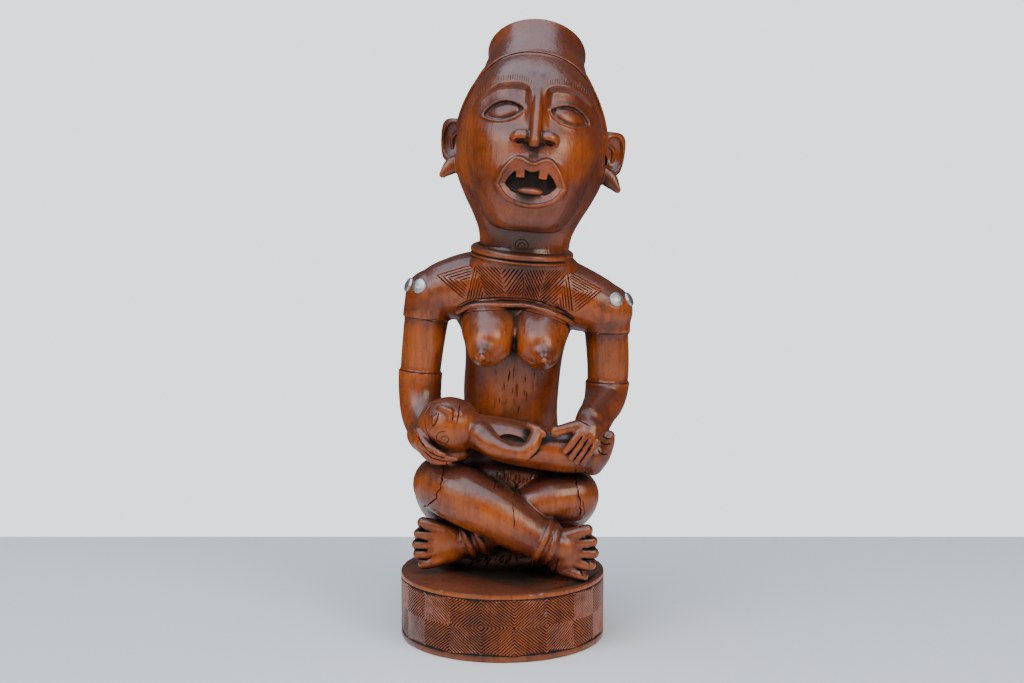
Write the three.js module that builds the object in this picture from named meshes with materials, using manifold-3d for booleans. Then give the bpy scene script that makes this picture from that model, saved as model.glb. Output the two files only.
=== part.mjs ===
// Maternity figure carved from one block of wood: a mother who sits cross-legged on a patterned drum
// and holds a child across her lap. Four domed metal tacks are driven into her shoulders.
// Millimetres, +Z up, the front faces -Y. The origin is the centre of the drum's flat underside.
import * as THREE from 'three';
import { mergeVertices } from 'three/addons/utils/BufferGeometryUtils.js';
import Module from 'manifold-3d';

const wasm = await Module();
wasm.setup();

// Driving dimensions of the drum
const DRUM_DIAMETER = 127;
const DRUM_HEIGHT = 41;
const DRUM_TOP_BORDER = 3;
const DRUM_FOOT_BORDER = 5;
const DRUM_EDGE_ROUNDING = 0.8;
const DIAMONDS_AROUND = 10;
const FIRST_DIAMOND_ANGLE = -11.2;
const LINES_PER_DIAMOND = 3;
const DRUM_LINE_DEPTH = 0.9;

// Driving dimensions of the mother and child, above the drum
const FIGURE_HEIGHT = 342;
const HEAD_LEAN = 5;
const CAP_RADIUS = 31.5;
const CAP_TILT = 39;
const CHEST_LINE_WIDTH = 2.6;
const CHEST_CORD_RADIUS = 2;
const BAND_WIDTH = 4.5;
const ANKLET_RISE = 1.5;
const ARM_LINE_DEPTH = 0.9;

// Driving dimensions of the tacks
const TACK_DIAMETER = 9.8;
const TACK_DOME_HEIGHT = 2.4;
const TACK_SHANK_DIAMETER = 1.8;
const TACK_SHANK_LENGTH = 6;
const TACK_SEAT_DEPTH = 0.9;
const TACK_CLEARANCE = 0.3;

// The carver's grid: places and sizes of the figure are in 342nds of its height, above the drum's top.
// Shoulders are [x, y, z, radius] and the neck is the origin of the head's own frame.
const UNIT = FIGURE_HEIGHT / 342;
const SHOULDER_RIGHT = [-44.5, 12, 170.5, 16];
const SHOULDER_LEFT = [64.3, 12, 160.5, 17.2];
const NECK = [13.5, 12, 199];
const TRUNK_SQUARENESS = 2.2;
const FACE_SQUARENESS = 2.5;

// How far the joined surface may move when needless edges are drawn together
const JOIN_SLACK = 0.17;
const RADIAN = Math.PI / 180;

// Closed solids from rings of points

function toSolid(geometry) {
  const bare = geometry.index ? geometry.toNonIndexed() : geometry.clone();
  bare.deleteAttribute('normal');
  bare.deleteAttribute('uv');
  const merged = mergeVertices(bare, 1e-4);
  const corners = Array.from(merged.index.array);
  const kept = [];
  for (let i = 0; i < corners.length; i += 3) {
    const [a, b, c] = corners.slice(i, i + 3);
    if (a !== b && b !== c && c !== a) kept.push(a, b, c);
  }
  return new wasm.Manifold(new wasm.Mesh({
    numProp: 3,
    vertProperties: new Float32Array(merged.attributes.position.array),
    triVerts: new Uint32Array(kept),
  }));
}

function toGeometry(solid) {
  const mesh = solid.getMesh();
  const geometry = new THREE.BufferGeometry();
  geometry.setAttribute('position', new THREE.BufferAttribute(Float32Array.from(mesh.vertProperties), 3));
  geometry.setIndex(new THREE.BufferAttribute(Uint32Array.from(mesh.triVerts), 1));
  return geometry;
}

function fromTriangles(points, triangles) {
  const geometry = new THREE.BufferGeometry();
  geometry.setAttribute('position', new THREE.Float32BufferAttribute(points.flatMap((p) => p.toArray()), 3));
  let volume = 0;
  for (const [a, b, c] of triangles) {
    volume += points[a].dot(new THREE.Vector3().crossVectors(points[b], points[c]));
  }
  const outward = volume > 0 ? triangles : triangles.map(([a, b, c]) => [a, c, b]);
  geometry.setIndex(outward.flat());
  return geometry;
}

function skinOver(rings, first, last) {
  const sides = rings[0].length;
  const points = rings.flat();
  const triangles = [];
  for (let ring = 0; ring < rings.length - 1; ring += 1) {
    for (let side = 0; side < sides; side += 1) {
      const next = (side + 1) % sides;
      const low = ring * sides;
      const high = low + sides;
      triangles.push([low + side, low + next, high + next], [low + side, high + next, high + side]);
    }
  }
  const firstIndex = points.push(first) - 1;
  const lastIndex = points.push(last) - 1;
  const end = (rings.length - 1) * sides;
  for (let side = 0; side < sides; side += 1) {
    const next = (side + 1) % sides;
    triangles.push([firstIndex, next, side], [lastIndex, end + side, end + next]);
  }
  return toSolid(fromTriangles(points, triangles));
}

// A limb runs along a curve through its stations [x, y, z, half width, half depth] and has round ends.
// Each band [share of the way, rise] is a ridge round it, such as an anklet, or a groove where rise is negative.
function limb(stations, sides = 10, steps = 8, { facing = [0, 1, 0], rounded = true, bands = [] } = {}) {
  const path = new THREE.CatmullRomCurve3(stations.map(([x, y, z]) => new THREE.Vector3(x, y, z)));
  const sizes = new THREE.CatmullRomCurve3(stations.map(([, , , w, d = w]) => new THREE.Vector3(w, d, 0)));
  const sight = new THREE.Vector3(...facing);
  const ringAt = (t, shift, share, rise = 0) => {
    const along = path.getTangent(t);
    const across = new THREE.Vector3().crossVectors(along, sight).normalize();
    const deep = new THREE.Vector3().crossVectors(across, along).normalize();
    const size = sizes.getPoint(t);
    const centre = path.getPoint(t).addScaledVector(along, shift * Math.min(size.x, size.y));
    return Array.from({ length: sides }, (_, side) => {
      const angle = (side + 0.5) * 2 * Math.PI / sides;
      return centre.clone()
        .addScaledVector(across, (size.x * share + rise) * Math.cos(angle))
        .addScaledVector(deep, (size.y * share + rise) * Math.sin(angle));
    });
  };
  const bandWidth = BAND_WIDTH / path.getLength();
  const cuts = bands.flatMap(([t, rise]) => [[t - bandWidth / 2, 0], [t, rise], [t + bandWidth / 2, 0]]);
  for (let step = 0; step <= steps; step += 1) {
    const t = step / steps;
    if (cuts.every(([cut]) => Math.abs(cut - t) > 0.4 / steps)) cuts.push([t, 0]);
  }
  const rings = cuts.sort((a, b) => a[0] - b[0]).map(([t, rise]) => ringAt(t, 0, 1, rise));
  if (rounded) {
    rings.unshift(ringAt(0, -0.7, 0.7));
    rings.push(ringAt(1, 0.7, 0.7));
  }
  const tip = (t, sign) => {
    const size = sizes.getPoint(t);
    return path.getPoint(t).addScaledVector(path.getTangent(t), sign * Math.min(size.x, size.y));
  };
  return skinOver(rings, tip(0, -1), tip(1, 1));
}

// A stack of level sections [z, centre x, centre y, half width, front depth, back depth]
function stack(sections, sides, squareness = 2) {
  const power = 2 / squareness;
  const round = (value) => Math.sign(value) * Math.abs(value) ** power;
  const rings = sections.map(([z, x, y, width, front, back]) => (
    Array.from({ length: sides }, (_, side) => {
      const angle = (side + 0.5) * 2 * Math.PI / sides;
      const across = round(Math.cos(angle));
      const deep = round(Math.sin(angle));
      return new THREE.Vector3(x + width * across, y + (deep > 0 ? back : front) * deep, z);
    })
  ));
  const [lowZ, lowX, lowY] = sections[0];
  const [highZ, highX, highY] = sections[sections.length - 1];
  return skinOver(rings, new THREE.Vector3(lowX, lowY, lowZ), new THREE.Vector3(highX, highY, highZ));
}

function ball([x, y, z], [width, depth, height], turn = [0, 0, 0], around = 12, tall = 8) {
  const geometry = new THREE.SphereGeometry(1, around, tall);
  geometry.rotateX(Math.PI / 2);
  geometry.scale(width, depth, height);
  geometry.applyMatrix4(new THREE.Matrix4().makeRotationFromEuler(
    new THREE.Euler(turn[0] * RADIAN, turn[1] * RADIAN, turn[2] * RADIAN, 'ZYX')));
  geometry.translate(x, y, z);
  return toSolid(geometry);
}

// Joining leaves slivers. An edge is drawn together into one point, the least change first, as long as the
// surface moves by less than `slack`, no face turns over and the body stays one closed skin.
function drawTogether(geometry, slack) {
  const position = geometry.attributes.position;
  const points = Array.from({ length: position.count }, (_, i) => (
    new THREE.Vector3().fromBufferAttribute(position, i)));
  const faces = [];
  for (let i = 0; i < geometry.index.count; i += 3) {
    faces.push(Array.from(geometry.index.array.slice(i, i + 3)));
  }
  const facesAt = points.map(() => new Set());
  faces.forEach((face, i) => face.forEach((corner) => facesAt[corner].add(i)));
  const normalOf = ([a, b, c]) => new THREE.Vector3()
    .crossVectors(points[b].clone().sub(points[a]), points[c].clone().sub(points[a]));
  // The planes that each corner has to stay near, as [normal x, y, z, offset]
  const planes = points.map(() => []);
  faces.forEach((face) => {
    const normal = normalOf(face);
    const area = normal.length();
    if (area < 1e-9) return;
    normal.divideScalar(area);
    const plane = [normal.x, normal.y, normal.z, -normal.dot(points[face[0]])];
    face.forEach((corner) => planes[corner].push(plane));
  });
  const strayFrom = (list, p) => list.reduce((worst, [x, y, z, offset]) => (
    Math.max(worst, Math.abs(x * p.x + y * p.y + z * p.z + offset))), 0);
  const neighbours = (corner) => {
    const around = new Set();
    for (const face of facesAt[corner]) faces[face].forEach((other) => around.add(other));
    around.delete(corner);
    return around;
  };
  const tryEdge = (a, b) => {
    const choices = [points[a], points[b], points[a].clone().lerp(points[b], 0.5)];
    let best = null;
    for (const place of choices) {
      const stray = Math.max(strayFrom(planes[a], place), strayFrom(planes[b], place));
      if (stray < slack && (!best || stray < best.stray)) best = { place, stray };
    }
    return best;
  };
  const staysSound = (a, b, place) => {
    const around = neighbours(a);
    const shared = [...neighbours(b)].filter((corner) => around.has(corner));
    if (shared.length !== 2) return false;
    for (const corner of [a, b]) {
      for (const index of facesAt[corner]) {
        const face = faces[index];
        if (face.includes(a) && face.includes(b)) continue;
        const before = normalOf(face);
        const moved = face.map((other) => (other === corner ? place : points[other]));
        const after = new THREE.Vector3()
          .crossVectors(moved[1].clone().sub(moved[0]), moved[2].clone().sub(moved[0]));
        const longest = Math.max(moved[0].distanceTo(moved[1]), moved[1].distanceTo(moved[2]),
          moved[2].distanceTo(moved[0]));
        if (after.length() < 0.02 * longest * longest) return false;
        if (before.length() > 1e-3 && before.normalize().dot(after.normalize()) < 0.7) return false;
      }
    }
    return true;
  };
  let changed = true;
  while (changed) {
    changed = false;
    const seen = new Set();
    const candidates = [];
    for (const face of faces) {
      if (!face) continue;
      face.forEach((a, i) => {
        const b = face[(i + 1) % 3];
        const key = a < b ? a * points.length + b : b * points.length + a;
        if (seen.has(key)) return;
        seen.add(key);
        const best = tryEdge(a, b);
        if (best) candidates.push({ a, b, rank: best.stray + 0.01 * points[a].distanceTo(points[b]) });
      });
    }
    candidates.sort((one, other) => one.rank - other.rank);
    const touched = new Set();
    for (const { a, b } of candidates) {
      if (touched.has(a) || touched.has(b)) continue;
      const best = tryEdge(a, b);
      if (!best || !staysSound(a, b, best.place)) continue;
      neighbours(a).forEach((corner) => touched.add(corner));
      neighbours(b).forEach((corner) => touched.add(corner));
      for (const index of [...facesAt[b]]) {
        const face = faces[index];
        if (face.includes(a)) {
          face.forEach((corner) => facesAt[corner].delete(index));
          faces[index] = null;
        } else {
          faces[index] = face.map((corner) => (corner === b ? a : corner));
          facesAt[a].add(index);
        }
      }
      facesAt[b].clear();
      points[a] = best.place.clone();
      planes[a] = planes[a].concat(planes[b]);
      changed = true;
    }
  }
  return fromTriangles(points, faces.filter(Boolean));
}

// Only the largest connected skin, without the crumbs that cutting leaves on a line
function withoutCrumbs(geometry) {
  const corners = Array.from(geometry.index.array);
  const root = Array.from({ length: geometry.attributes.position.count }, (_, i) => i);
  const find = (i) => {
    while (root[i] !== i) i = root[i];
    return i;
  };
  for (let i = 0; i < corners.length; i += 3) {
    root[find(corners[i])] = find(corners[i + 1]);
    root[find(corners[i + 1])] = find(corners[i + 2]);
  }
  const count = new Map();
  for (const corner of corners) count.set(find(corner), (count.get(find(corner)) ?? 0) + 1);
  const largest = [...count].sort((a, b) => b[1] - a[1])[0][0];
  geometry.setIndex(corners.filter((corner) => find(corner) === largest));
  return geometry;
}

function join(solids) {
  return solids.reduce((whole, solid) => whole.add(solid));
}

// Where a line from `from` in the direction `towards` first meets a solid
function surfaceFinder(solid) {
  const mesh = new THREE.Mesh(toGeometry(solid), new THREE.MeshBasicMaterial({ side: THREE.DoubleSide }));
  mesh.updateMatrixWorld();
  const caster = new THREE.Raycaster();
  return (from, towards) => {
    caster.set(new THREE.Vector3(...from), new THREE.Vector3(...towards).normalize());
    const hits = caster.intersectObject(mesh);
    return hits.length ? hits[0].point : null;
  };
}

// Drum: a lattice of nested diamonds between two plain borders

function drum() {
  const radius = DRUM_DIAMETER / 2;
  const halfAngle = Math.PI / DIAMONDS_AROUND;
  const middle = (DRUM_FOOT_BORDER + DRUM_HEIGHT - DRUM_TOP_BORDER) / 2;
  const halfHeight = DRUM_HEIGHT - DRUM_TOP_BORDER - middle;
  const firstDiamond = FIRST_DIAMOND_ANGLE * RADIAN - Math.PI / 2;
  const levels = LINES_PER_DIAMOND * 2;
  const points = [];
  const triangles = [];
  const found = new Map();
  const halfStep = halfAngle / levels / 2;
  const halfSteps = 4 * levels * DIAMONDS_AROUND;
  const onDrum = (angle, z, depth) => {
    const turned = Math.round((angle - firstDiamond) / halfStep + halfSteps) % halfSteps;
    const key = `${turned} ${z.toFixed(3)} ${depth > 0}`;
    if (!found.has(key)) {
      found.set(key, points.push(new THREE.Vector3(
        (radius - depth) * Math.cos(angle), (radius - depth) * Math.sin(angle), z)) - 1);
    }
    return found.get(key);
  };
  const depthAt = (level, z) => {
    const onBorder = Math.abs(Math.abs(z - middle) - halfHeight) < 1e-6;
    return onBorder || level % 2 === 1 ? DRUM_LINE_DEPTH : 0;
  };
  // One quarter of a diamond, in strips between its nested lines; the outermost line has a middle point
  const quarter = (centreAngle, centreZ, acrossSign, upSign) => {
    const corner = (level, part) => {
      const share = level / levels;
      const angle = centreAngle + acrossSign * halfAngle * share * (1 - part / 2);
      const z = centreZ + upSign * halfHeight * share * (part / 2);
      return onDrum(angle, z, depthAt(level, z));
    };
    for (let level = 1; level <= levels; level += 1) {
      const [outer, inner] = [level, level - 1].map((line) => [corner(line, 0), corner(line, 2)]);
      const strip = [[inner[0], outer[0], outer[1]]];
      if (level > 1) strip.push([inner[0], outer[1], inner[1]]);
      if (level === levels) {
        const rim = corner(level, 1);
        strip.splice(0, 1, [inner[0], outer[0], rim], [inner[0], rim, outer[1]]);
      }
      triangles.push(...(acrossSign * upSign > 0 ? strip : strip.map(([a, b, c]) => [a, c, b])));
    }
  };
  for (let diamond = 0; diamond < DIAMONDS_AROUND; diamond += 1) {
    const angle = firstDiamond + diamond * 2 * halfAngle;
    for (const across of [-1, 1]) {
      quarter(angle, middle, across, 1);
      quarter(angle, middle, across, -1);
      quarter(angle + halfAngle, middle - halfHeight, across, 1);
      quarter(angle + halfAngle, middle + halfHeight, across, -1);
    }
  }
  // The plain borders, from the pattern's edge to the flat faces
  const sides = 4 * DIAMONDS_AROUND;
  const borderCount = 2 * levels * DIAMONDS_AROUND;
  const closeEnd = (patternZ, rings, upward) => {
    const turn = (list) => triangles.push(...(upward ? list : list.map(([a, b, c]) => [a, c, b])));
    const edge = Array.from({ length: borderCount }, (_, i) => (
      onDrum(firstDiamond + i * halfAngle / levels, patternZ, DRUM_LINE_DEPTH)));
    const circles = rings.map(([z, depth]) => Array.from({ length: sides }, (_, i) => (
      onDrum(firstDiamond + i * 2 * Math.PI / sides, z, depth))));
    const each = borderCount / sides;
    const split = Math.floor(each / 2);
    circles[0].forEach((here, i) => {
      const there = circles[0][(i + 1) % sides];
      for (let k = 0; k < each; k += 1) {
        const low = edge[i * each + k];
        const next = edge[(i * each + k + 1) % borderCount];
        if (k === split) turn([[low, there, here]]);
        turn([[low, next, k < split ? here : there]]);
      }
    });
    for (let ring = 0; ring < circles.length - 1; ring += 1) {
      for (let i = 0; i < sides; i += 1) {
        const next = (i + 1) % sides;
        const [low, high] = [circles[ring], circles[ring + 1]];
        turn([[low[i], low[next], high[next]], [low[i], high[next], high[i]]]);
      }
    }
    const centre = points.push(new THREE.Vector3(0, 0, rings[rings.length - 1][0])) - 1;
    const last = circles[circles.length - 1];
    last.forEach((corner, i) => turn([[corner, last[(i + 1) % sides], centre]]));
  };
  const lineWidth = DRUM_LINE_DEPTH * 1.5;
  closeEnd(middle + halfHeight, [
    [middle + halfHeight + lineWidth, 0],
    [DRUM_HEIGHT - DRUM_EDGE_ROUNDING, 0],
    [DRUM_HEIGHT, DRUM_EDGE_ROUNDING],
  ], true);
  closeEnd(middle - halfHeight, [
    [middle - halfHeight - lineWidth, 0],
    [DRUM_EDGE_ROUNDING, 0],
    [0, DRUM_EDGE_ROUNDING],
  ], false);
  return toSolid(fromTriangles(points, triangles));
}

// Mother's trunk, from the seat on the drum to the foot of the neck

function trunk() {
  const body = stack([
    [-2, 3, 24, 41, 27, 31],
    [14, 3, 24, 45, 29, 33],
    [35, 3.5, 24, 43, 27, 31],
    [62, 4.5, 24, 35, 25, 26],
    [90, 5, 22, 30, 25, 21],
    [112, 5.6, 22, 30.2, 25, 21],
    [134, 7.6, 20.5, 31, 25, 21.5],
    [149, 8.7, 19, 35, 25, 23],
    [162, 9, 18, 42, 25, 23],
    [178, 9.8, 17, 44, 23.5, 22],
    [189, 10.8, 15.5, 38, 21.5, 19.5],
    [199, 12, 13, 29, 18, 16],
  ], 14, TRUNK_SQUARENESS);
  const shoulders = limb([
    SHOULDER_RIGHT,
    [-34, 13, 173.5, 19],
    [-18, 15, 175.5, 22],
    [9, 16, 177, 23],
    [32, 15, 172.5, 22.5],
    [51, 13.5, 166.5, 19.5],
    SHOULDER_LEFT,
  ], 10, 8);
  return body.add(shoulders);
}

// A broad cone that starts right under the chest cord and ends in a small nipple
function breast(rootX, tipX, tipZ) {
  const between = (share) => rootX + (tipX - rootX) * share;
  return limb([
    [rootX, 5, tipZ + 15, 15],
    [between(0.5), -8, tipZ + 7.5, 15],
    [between(0.8), -18, tipZ + 3, 11.5],
    [tipX, -26, tipZ + 0.5, 6.5],
  ], 10, 5, { facing: [0, 0, 1] }).add(ball([tipX, -32, tipZ - 0.5], [3, 3.4, 3], [0, 0, 0], 6, 4));
}

// Arms, hands and fingers

const ARM_RIGHT = [
  SHOULDER_RIGHT,
  [-46.5, 12, 155, 13.6],
  [-48.7, 12.5, 139, 13.2],
  [-50.5, 13, 124, 12.8],
  [-51, 12, 109, 12.6],
  [-50, 5, 96, 12.2],
  [-46.5, -8, 86.5, 10.5],
  [-42, -18, 81, 9],
];
const ARM_LEFT = [
  SHOULDER_LEFT,
  [64.3, 12, 149, 13.6],
  [65.3, 12.5, 129, 12.9],
  [65, 12, 115, 12.6],
  [63, 6, 105, 12],
  [59, -8, 99, 10.6],
  [54, -22, 97, 8.6],
  [50, -30, 96, 7.5],
];

function finger(stations) {
  return limb(stations, 4, 2);
}

function rightHand() {
  const palm = limb([[-50, -10, 85, 8.5], [-47, -24, 81, 6.5, 5.5], [-40, -31, 79, 5.5, 3.5]], 8, 3);
  const fingers = [0, 1, 2, 3].map((i) => finger([
    [-47 + 1.5 * i, -29, 83 - 2.6 * i, 2.6],
    [-38 + 2 * i, -34 + 1.8 * i, 80 - 2.5 * i, 2.5],
    [-29.5 + i, -35 + 3 * i, 78.5 - 2.2 * i, 2.1],
  ]));
  return join([palm, ...fingers]);
}

function leftHand() {
  const palm = limb([[50, -30, 96, 7.5], [47.5, -33.5, 92, 8, 5], [46, -35, 89, 7.5, 3.5]], 8, 3);
  const fingers = [0, 1, 2, 3].map((i) => finger([
    [43 + 2.8 * i, -36.5 + 0.3 * i, 91 - 0.4 * i, 2.4],
    [40.5 + 3.2 * i, -38 + 0.5 * i, 84 - 1.2 * i, 2.4],
    [37.5 + 3.8 * i, -37 + 0.6 * i, 79.5 - 2 * i, 2.1],
  ]));
  const thumb = finger([[46, -33, 94, 3], [38, -34, 93.5, 2.8], [30.5, -33.5, 92, 2.6]]);
  return join([palm, thumb, ...fingers]);
}

// Legs crossed at the shins, the right one in front, with two anklets on each

// The foot stands on its outer edge: the toes lie one above another, the big toe on top
function foot(ankle, instep, toeX, outward, toeTop, toeBottom) {
  const middle = (toeTop + toeBottom) / 2;
  const plate = limb([ankle, instep, [toeX, instep[1], middle + 0.5, 14.5, 7.5]], 10, 3);
  const toes = [0, 1, 2, 3, 4].map((i) => {
    const z = toeTop + (toeBottom - toeTop) * i / 4;
    const inset = 0.5 * Math.abs(i - 1.7) ** 1.5;
    return finger([
      [toeX - outward * 2, instep[1] - 2, middle + (z - middle) * 0.85, 3.8 - 0.15 * i],
      [toeX + outward * (2.5 - inset), instep[1] - 2.8, z, 4 - 0.15 * i],
      [toeX + outward * (5.5 - inset), instep[1] - 2, z, 3.4 - 0.15 * i],
    ]);
  });
  return join([plate, ...toes]);
}

function legs() {
  return join([
    ball([-17, 32, 17], [25, 24, 22], [0, 0, 0], 10, 6),
    ball([23, 32, 17], [25, 24, 22], [0, 0, 0], 10, 6),
    limb([[-18, 30, 24, 20], [-33, 12, 42, 20], [-37.5, -5, 54, 18]], 10, 4),
    limb([[24, 30, 23, 20], [40, 12, 40, 19], [43.5, -4, 47, 16.5]], 10, 4),
    limb([[43.5, -7, 47, 16.3], [26, -14, 45.5, 14.8], [6, -12, 36, 13.5], [-10, -11, 25, 11.5],
      [-22, -12, 19.5, 9.5]], 10, 7, { bands: [[0.84, ANKLET_RISE], [0.95, ANKLET_RISE]] }),
    limb([[-37.5, -9, 54.5, 17.5], [-24, -20, 50, 18], [-6, -26, 42, 17], [12, -28, 31, 14.5],
      [25, -29, 24, 12], [36, -29, 20.5, 11]], 10, 8, { bands: [[0.81, ANKLET_RISE], [0.9, ANKLET_RISE]] }),
    foot([-20, -12, 19, 9.5, 9.5], [-33, -14, 18, 12.5, 8], -47, -1, 31, 6),
    foot([34, -29, 20, 11, 11], [42, -31, 17.5, 13, 8.5], 50, 1, 27.5, 3.5),
    ball([4, 6, 6], [40, 17, 15], [0, 0, 0], 10, 5),
    ball([5, 6, 57], [36, 24, 18], [0, 0, 0], 10, 5),
  ]);
}

// The child lies on its back, its head on the mother's right hand

function child() {
  return join([
    ball([-32, -19, 93], [19.5, 17, 17.5], [0, 0, 0], 12, 8),
    limb([[-14, -20, 89, 11], [0, -20, 84.5, 14], [20, -19, 80, 13.5], [40, -20, 77, 12.8],
      [54, -21, 75, 11]], 10, 6),
    limb([[-11, -30, 92, 7], [2, -34, 83, 7], [13, -36, 80, 6], [17.5, -34, 84.5, 5],
      [21, -30, 90, 4.6]], 6, 6),
    limb([[56, -22, 69, 7], [59.5, -23, 78, 6.2], [63.5, -24, 87, 4]], 6, 2),
    ball([-30.5, -29.5, 106.5], [2.4, 3, 3.4], [0, -25, 0], 6, 4),
    ball([-25.3, -31, 103], [1.8, 2.4, 3], [0, 35, 0], 6, 4),
    ball([-34.5, -34.8, 92], [4.2, 2, 4.6], [0, 0, 0], 6, 4),
  ]);
}

// Head, in its own frame: origin at the middle of the neck, leaned to the figure's left

function skull() {
  const cranium = stack([
    [-8, 27.5, 26, 26], [8, 28.6, 27.5, 28.5], [19, 33, 33.5, 33.5], [31, 39.5, 41, 39.5], [44, 45, 47, 43.5],
    [58, 46.3, 48.5, 45.5], [74, 45.6, 47.3, 45.5], [88, 42, 43.5, 42.5], [100, 37, 38, 37.5],
    [110, 31, 30, 30], [118, 22, 20, 19],
  ].map(([z, width, front, back]) => [z, -0.02 * z, 0, width, front, back]), 16);
  const face = stack([
    [12.5, 12, 41], [16, 21, 49], [21, 26, 53.5], [32, 33, 55.2], [46, 39.5, 55.2], [60, 42.5, 53],
    [74, 43, 50], [88, 40.2, 47], [98, 36.5, 43], [107, 31, 36.5], [115, 23, 27.5], [121.5, 9, 17],
  ].map(([z, width, front]) => [z, -0.02 * z, 0, width, front, 5]), 16, FACE_SQUARENESS);
  return cranium.add(face);
}

function cap() {
  const profile = [
    [0, -36], [25, -36], [31.8, -25], [30.3, -12], [CAP_RADIUS, -1], [CAP_RADIUS - 1, 0], [0, 0],
  ].map(([radius, height]) => new THREE.Vector2(radius, height));
  const geometry = new THREE.LatheGeometry(profile, 24);
  geometry.rotateX(Math.PI / 2 - CAP_TILT * RADIAN);
  geometry.translate(-2.4, 21, 121.8);
  return toSolid(geometry);
}

// The ear is a shallow oval dish with a raised rim, and a pointed lobe below it
function ear(side) {
  const dish = new THREE.LatheGeometry([
    [0, -2.2], [6, -2.2], [8.6, 0], [8, 2], [6.2, 1.6], [4.6, -0.4], [0, -0.8],
  ].map(([radius, height]) => new THREE.Vector2(radius, height)), 9);
  dish.rotateX(Math.PI);
  dish.scale(1, 1, 1.5);
  dish.rotateZ(side * 34 * RADIAN);
  dish.translate(side * 48, 1, 60);
  const lobe = limb([[side * 44, -1, 47.5, 4, 3], [side * 49, -2, 45.5, 3.4, 2.6],
    [side * 53, -3, 43, 1.6]], 5, 2);
  return toSolid(dish).add(lobe);
}

// The eye is an almond: a raised rim, a groove inside it and a smooth ball with no pupil
function eye(side, depthAt) {
  const tilt = 14 * RADIAN;
  const almond = (share) => Array.from({ length: 12 }, (_, i) => {
    const angle = i * 2 * Math.PI / 12;
    const along = 13.5 * share * Math.cos(angle);
    const sine = Math.sin(angle);
    const rise = share * sine * Math.abs(sine) ** 0.3 * (sine > 0 ? 7 : 5);
    return [side * (19.5 + along * Math.cos(tilt) + rise * Math.sin(tilt)),
      80 - along * Math.sin(tilt) + rise * Math.cos(tilt)];
  });
  const edge = almond(1.05).map(([x, z]) => depthAt(x, z));
  const middle = depthAt(side * 19.5, 80);
  const ring = (share, rise) => almond(share).map(([x, z], i) => (
    new THREE.Vector3(x, middle + (edge[i] - middle) * share ** 2 - rise, z)));
  const rings = [ring(1.2, -2.5), ring(1.1, 0.3), ring(1, 1.6), ring(0.84, 0.5), ring(0.5, 2)];
  return skinOver(rings, new THREE.Vector3(side * 19.5, middle + 3, 80),
    new THREE.Vector3(side * 19.5, middle - 2.4, 80));
}

function carvedFace(plain) {
  const sockets = [-1, 1].map((side) => ball([side * 19.5, -51.5, 87], [17, 8.5, 12.5], [0, 0, 0], 10, 6));
  const muzzle = ball([0, -49, 41], [22, 10, 18], [0, 0, 0], 10, 6);
  const cavity = ball([0, -60, 41.5], [13.5, 8.5, 7.5], [0, 0, 0], 10, 5);
  let head = plain.add(muzzle);
  head = sockets.reduce((whole, socket) => whole.subtract(socket), head);
  head = head.subtract(cavity);
  const find = surfaceFinder(head);
  const onFace = (x, z) => find([x, -120, z], [0, 1, 0]);
  const lipLine = (points, radius) => limb(points.map(([x, z]) => (
    [x, onFace(x, z).y + 0.3, z, radius])), 5, 8);
  const features = [
    lipLine([[-19.5, 38.5], [-15, 47.5], [-8, 53], [0, 50.5], [8, 53], [15, 47.5], [19.5, 38.5]], 2.4),
    lipLine([[-19.5, 38.5], [-12, 32.5], [0, 30], [12, 32.5], [19.5, 38.5]], 2.4),
    ball([0, -53.5, 36], [8, 4, 2.8], [0, 0, 0], 6, 4),
    limb([[0, -38, 95, 3], [0, -45.5, 87, 3.4], [0, -50.5, 76, 4.4], [0, -55, 65.5, 5.2]], 6, 4),
  ];
  for (const side of [-1, 1]) {
    const tooth = new THREE.BoxGeometry(6.5, 4, 7);
    tooth.translate(side * 7, -56, 46);
    features.push(toSolid(tooth));
    features.push(ball([side * 8.3, -52.5, 65.5], [6.2, 6, 4.8], [0, 0, 0], 6, 5));
    features.push(eye(side, (x, z) => onFace(x, z).y));
    features.push(ear(side));
  }
  const nostrils = [-1, 1].map((side) => ball([side * 7.8, -57.5, 61.8], [4.2, 4.5, 2.6], [0, 0, 0], 6, 4));
  return nostrils.reduce((whole, nostril) => whole.subtract(nostril), join([head, ...features]));
}

function headband(head) {
  const find = surfaceFinder(head);
  const stations = [];
  for (let angle = 6; angle <= 174; angle += 12) {
    const rise = Math.sin(angle * RADIAN);
    const y = -6 - 17 * Math.max(0, rise - 0.1) ** 2;
    const from = [150 * Math.cos(angle * RADIAN), y, 62 + 150 * rise];
    const hit = find(from, [-Math.cos(angle * RADIAN), 0, -rise]);
    stations.push([hit.x, hit.y, hit.z, 1.6]);
  }
  return limb(stations, 3, 14);
}

function head() {
  const crowned = skull().add(cap());
  const whole = carvedFace(crowned.add(headband(crowned)));
  const geometry = toGeometry(whole);
  geometry.applyMatrix4(new THREE.Matrix4().makeRotationY(HEAD_LEAN * RADIAN).setPosition(...NECK));
  return toSolid(geometry);
}

// The collar is a thick cord round the neck over a thin one
function collar() {
  const geometry = new THREE.LatheGeometry([
    [0, -8.5], [31, -8.5], [33.2, -6.8], [33.2, -5.6], [31.2, -4.2],
    [31.6, -3], [32, 0], [30.6, 2.4], [28, 3.2], [0, 3.2],
  ].map(([radius, height]) => new THREE.Vector2(radius, height)), 20);
  geometry.rotateX(Math.PI / 2 + 5.5 * RADIAN);
  geometry.rotateY(4.8 * RADIAN);
  geometry.translate(12.3, 12, 197.6);
  return toSolid(geometry);
}

// Shallow lines on the chest: a zigzag of triangles, each with a nested one, above the chest cord

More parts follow.
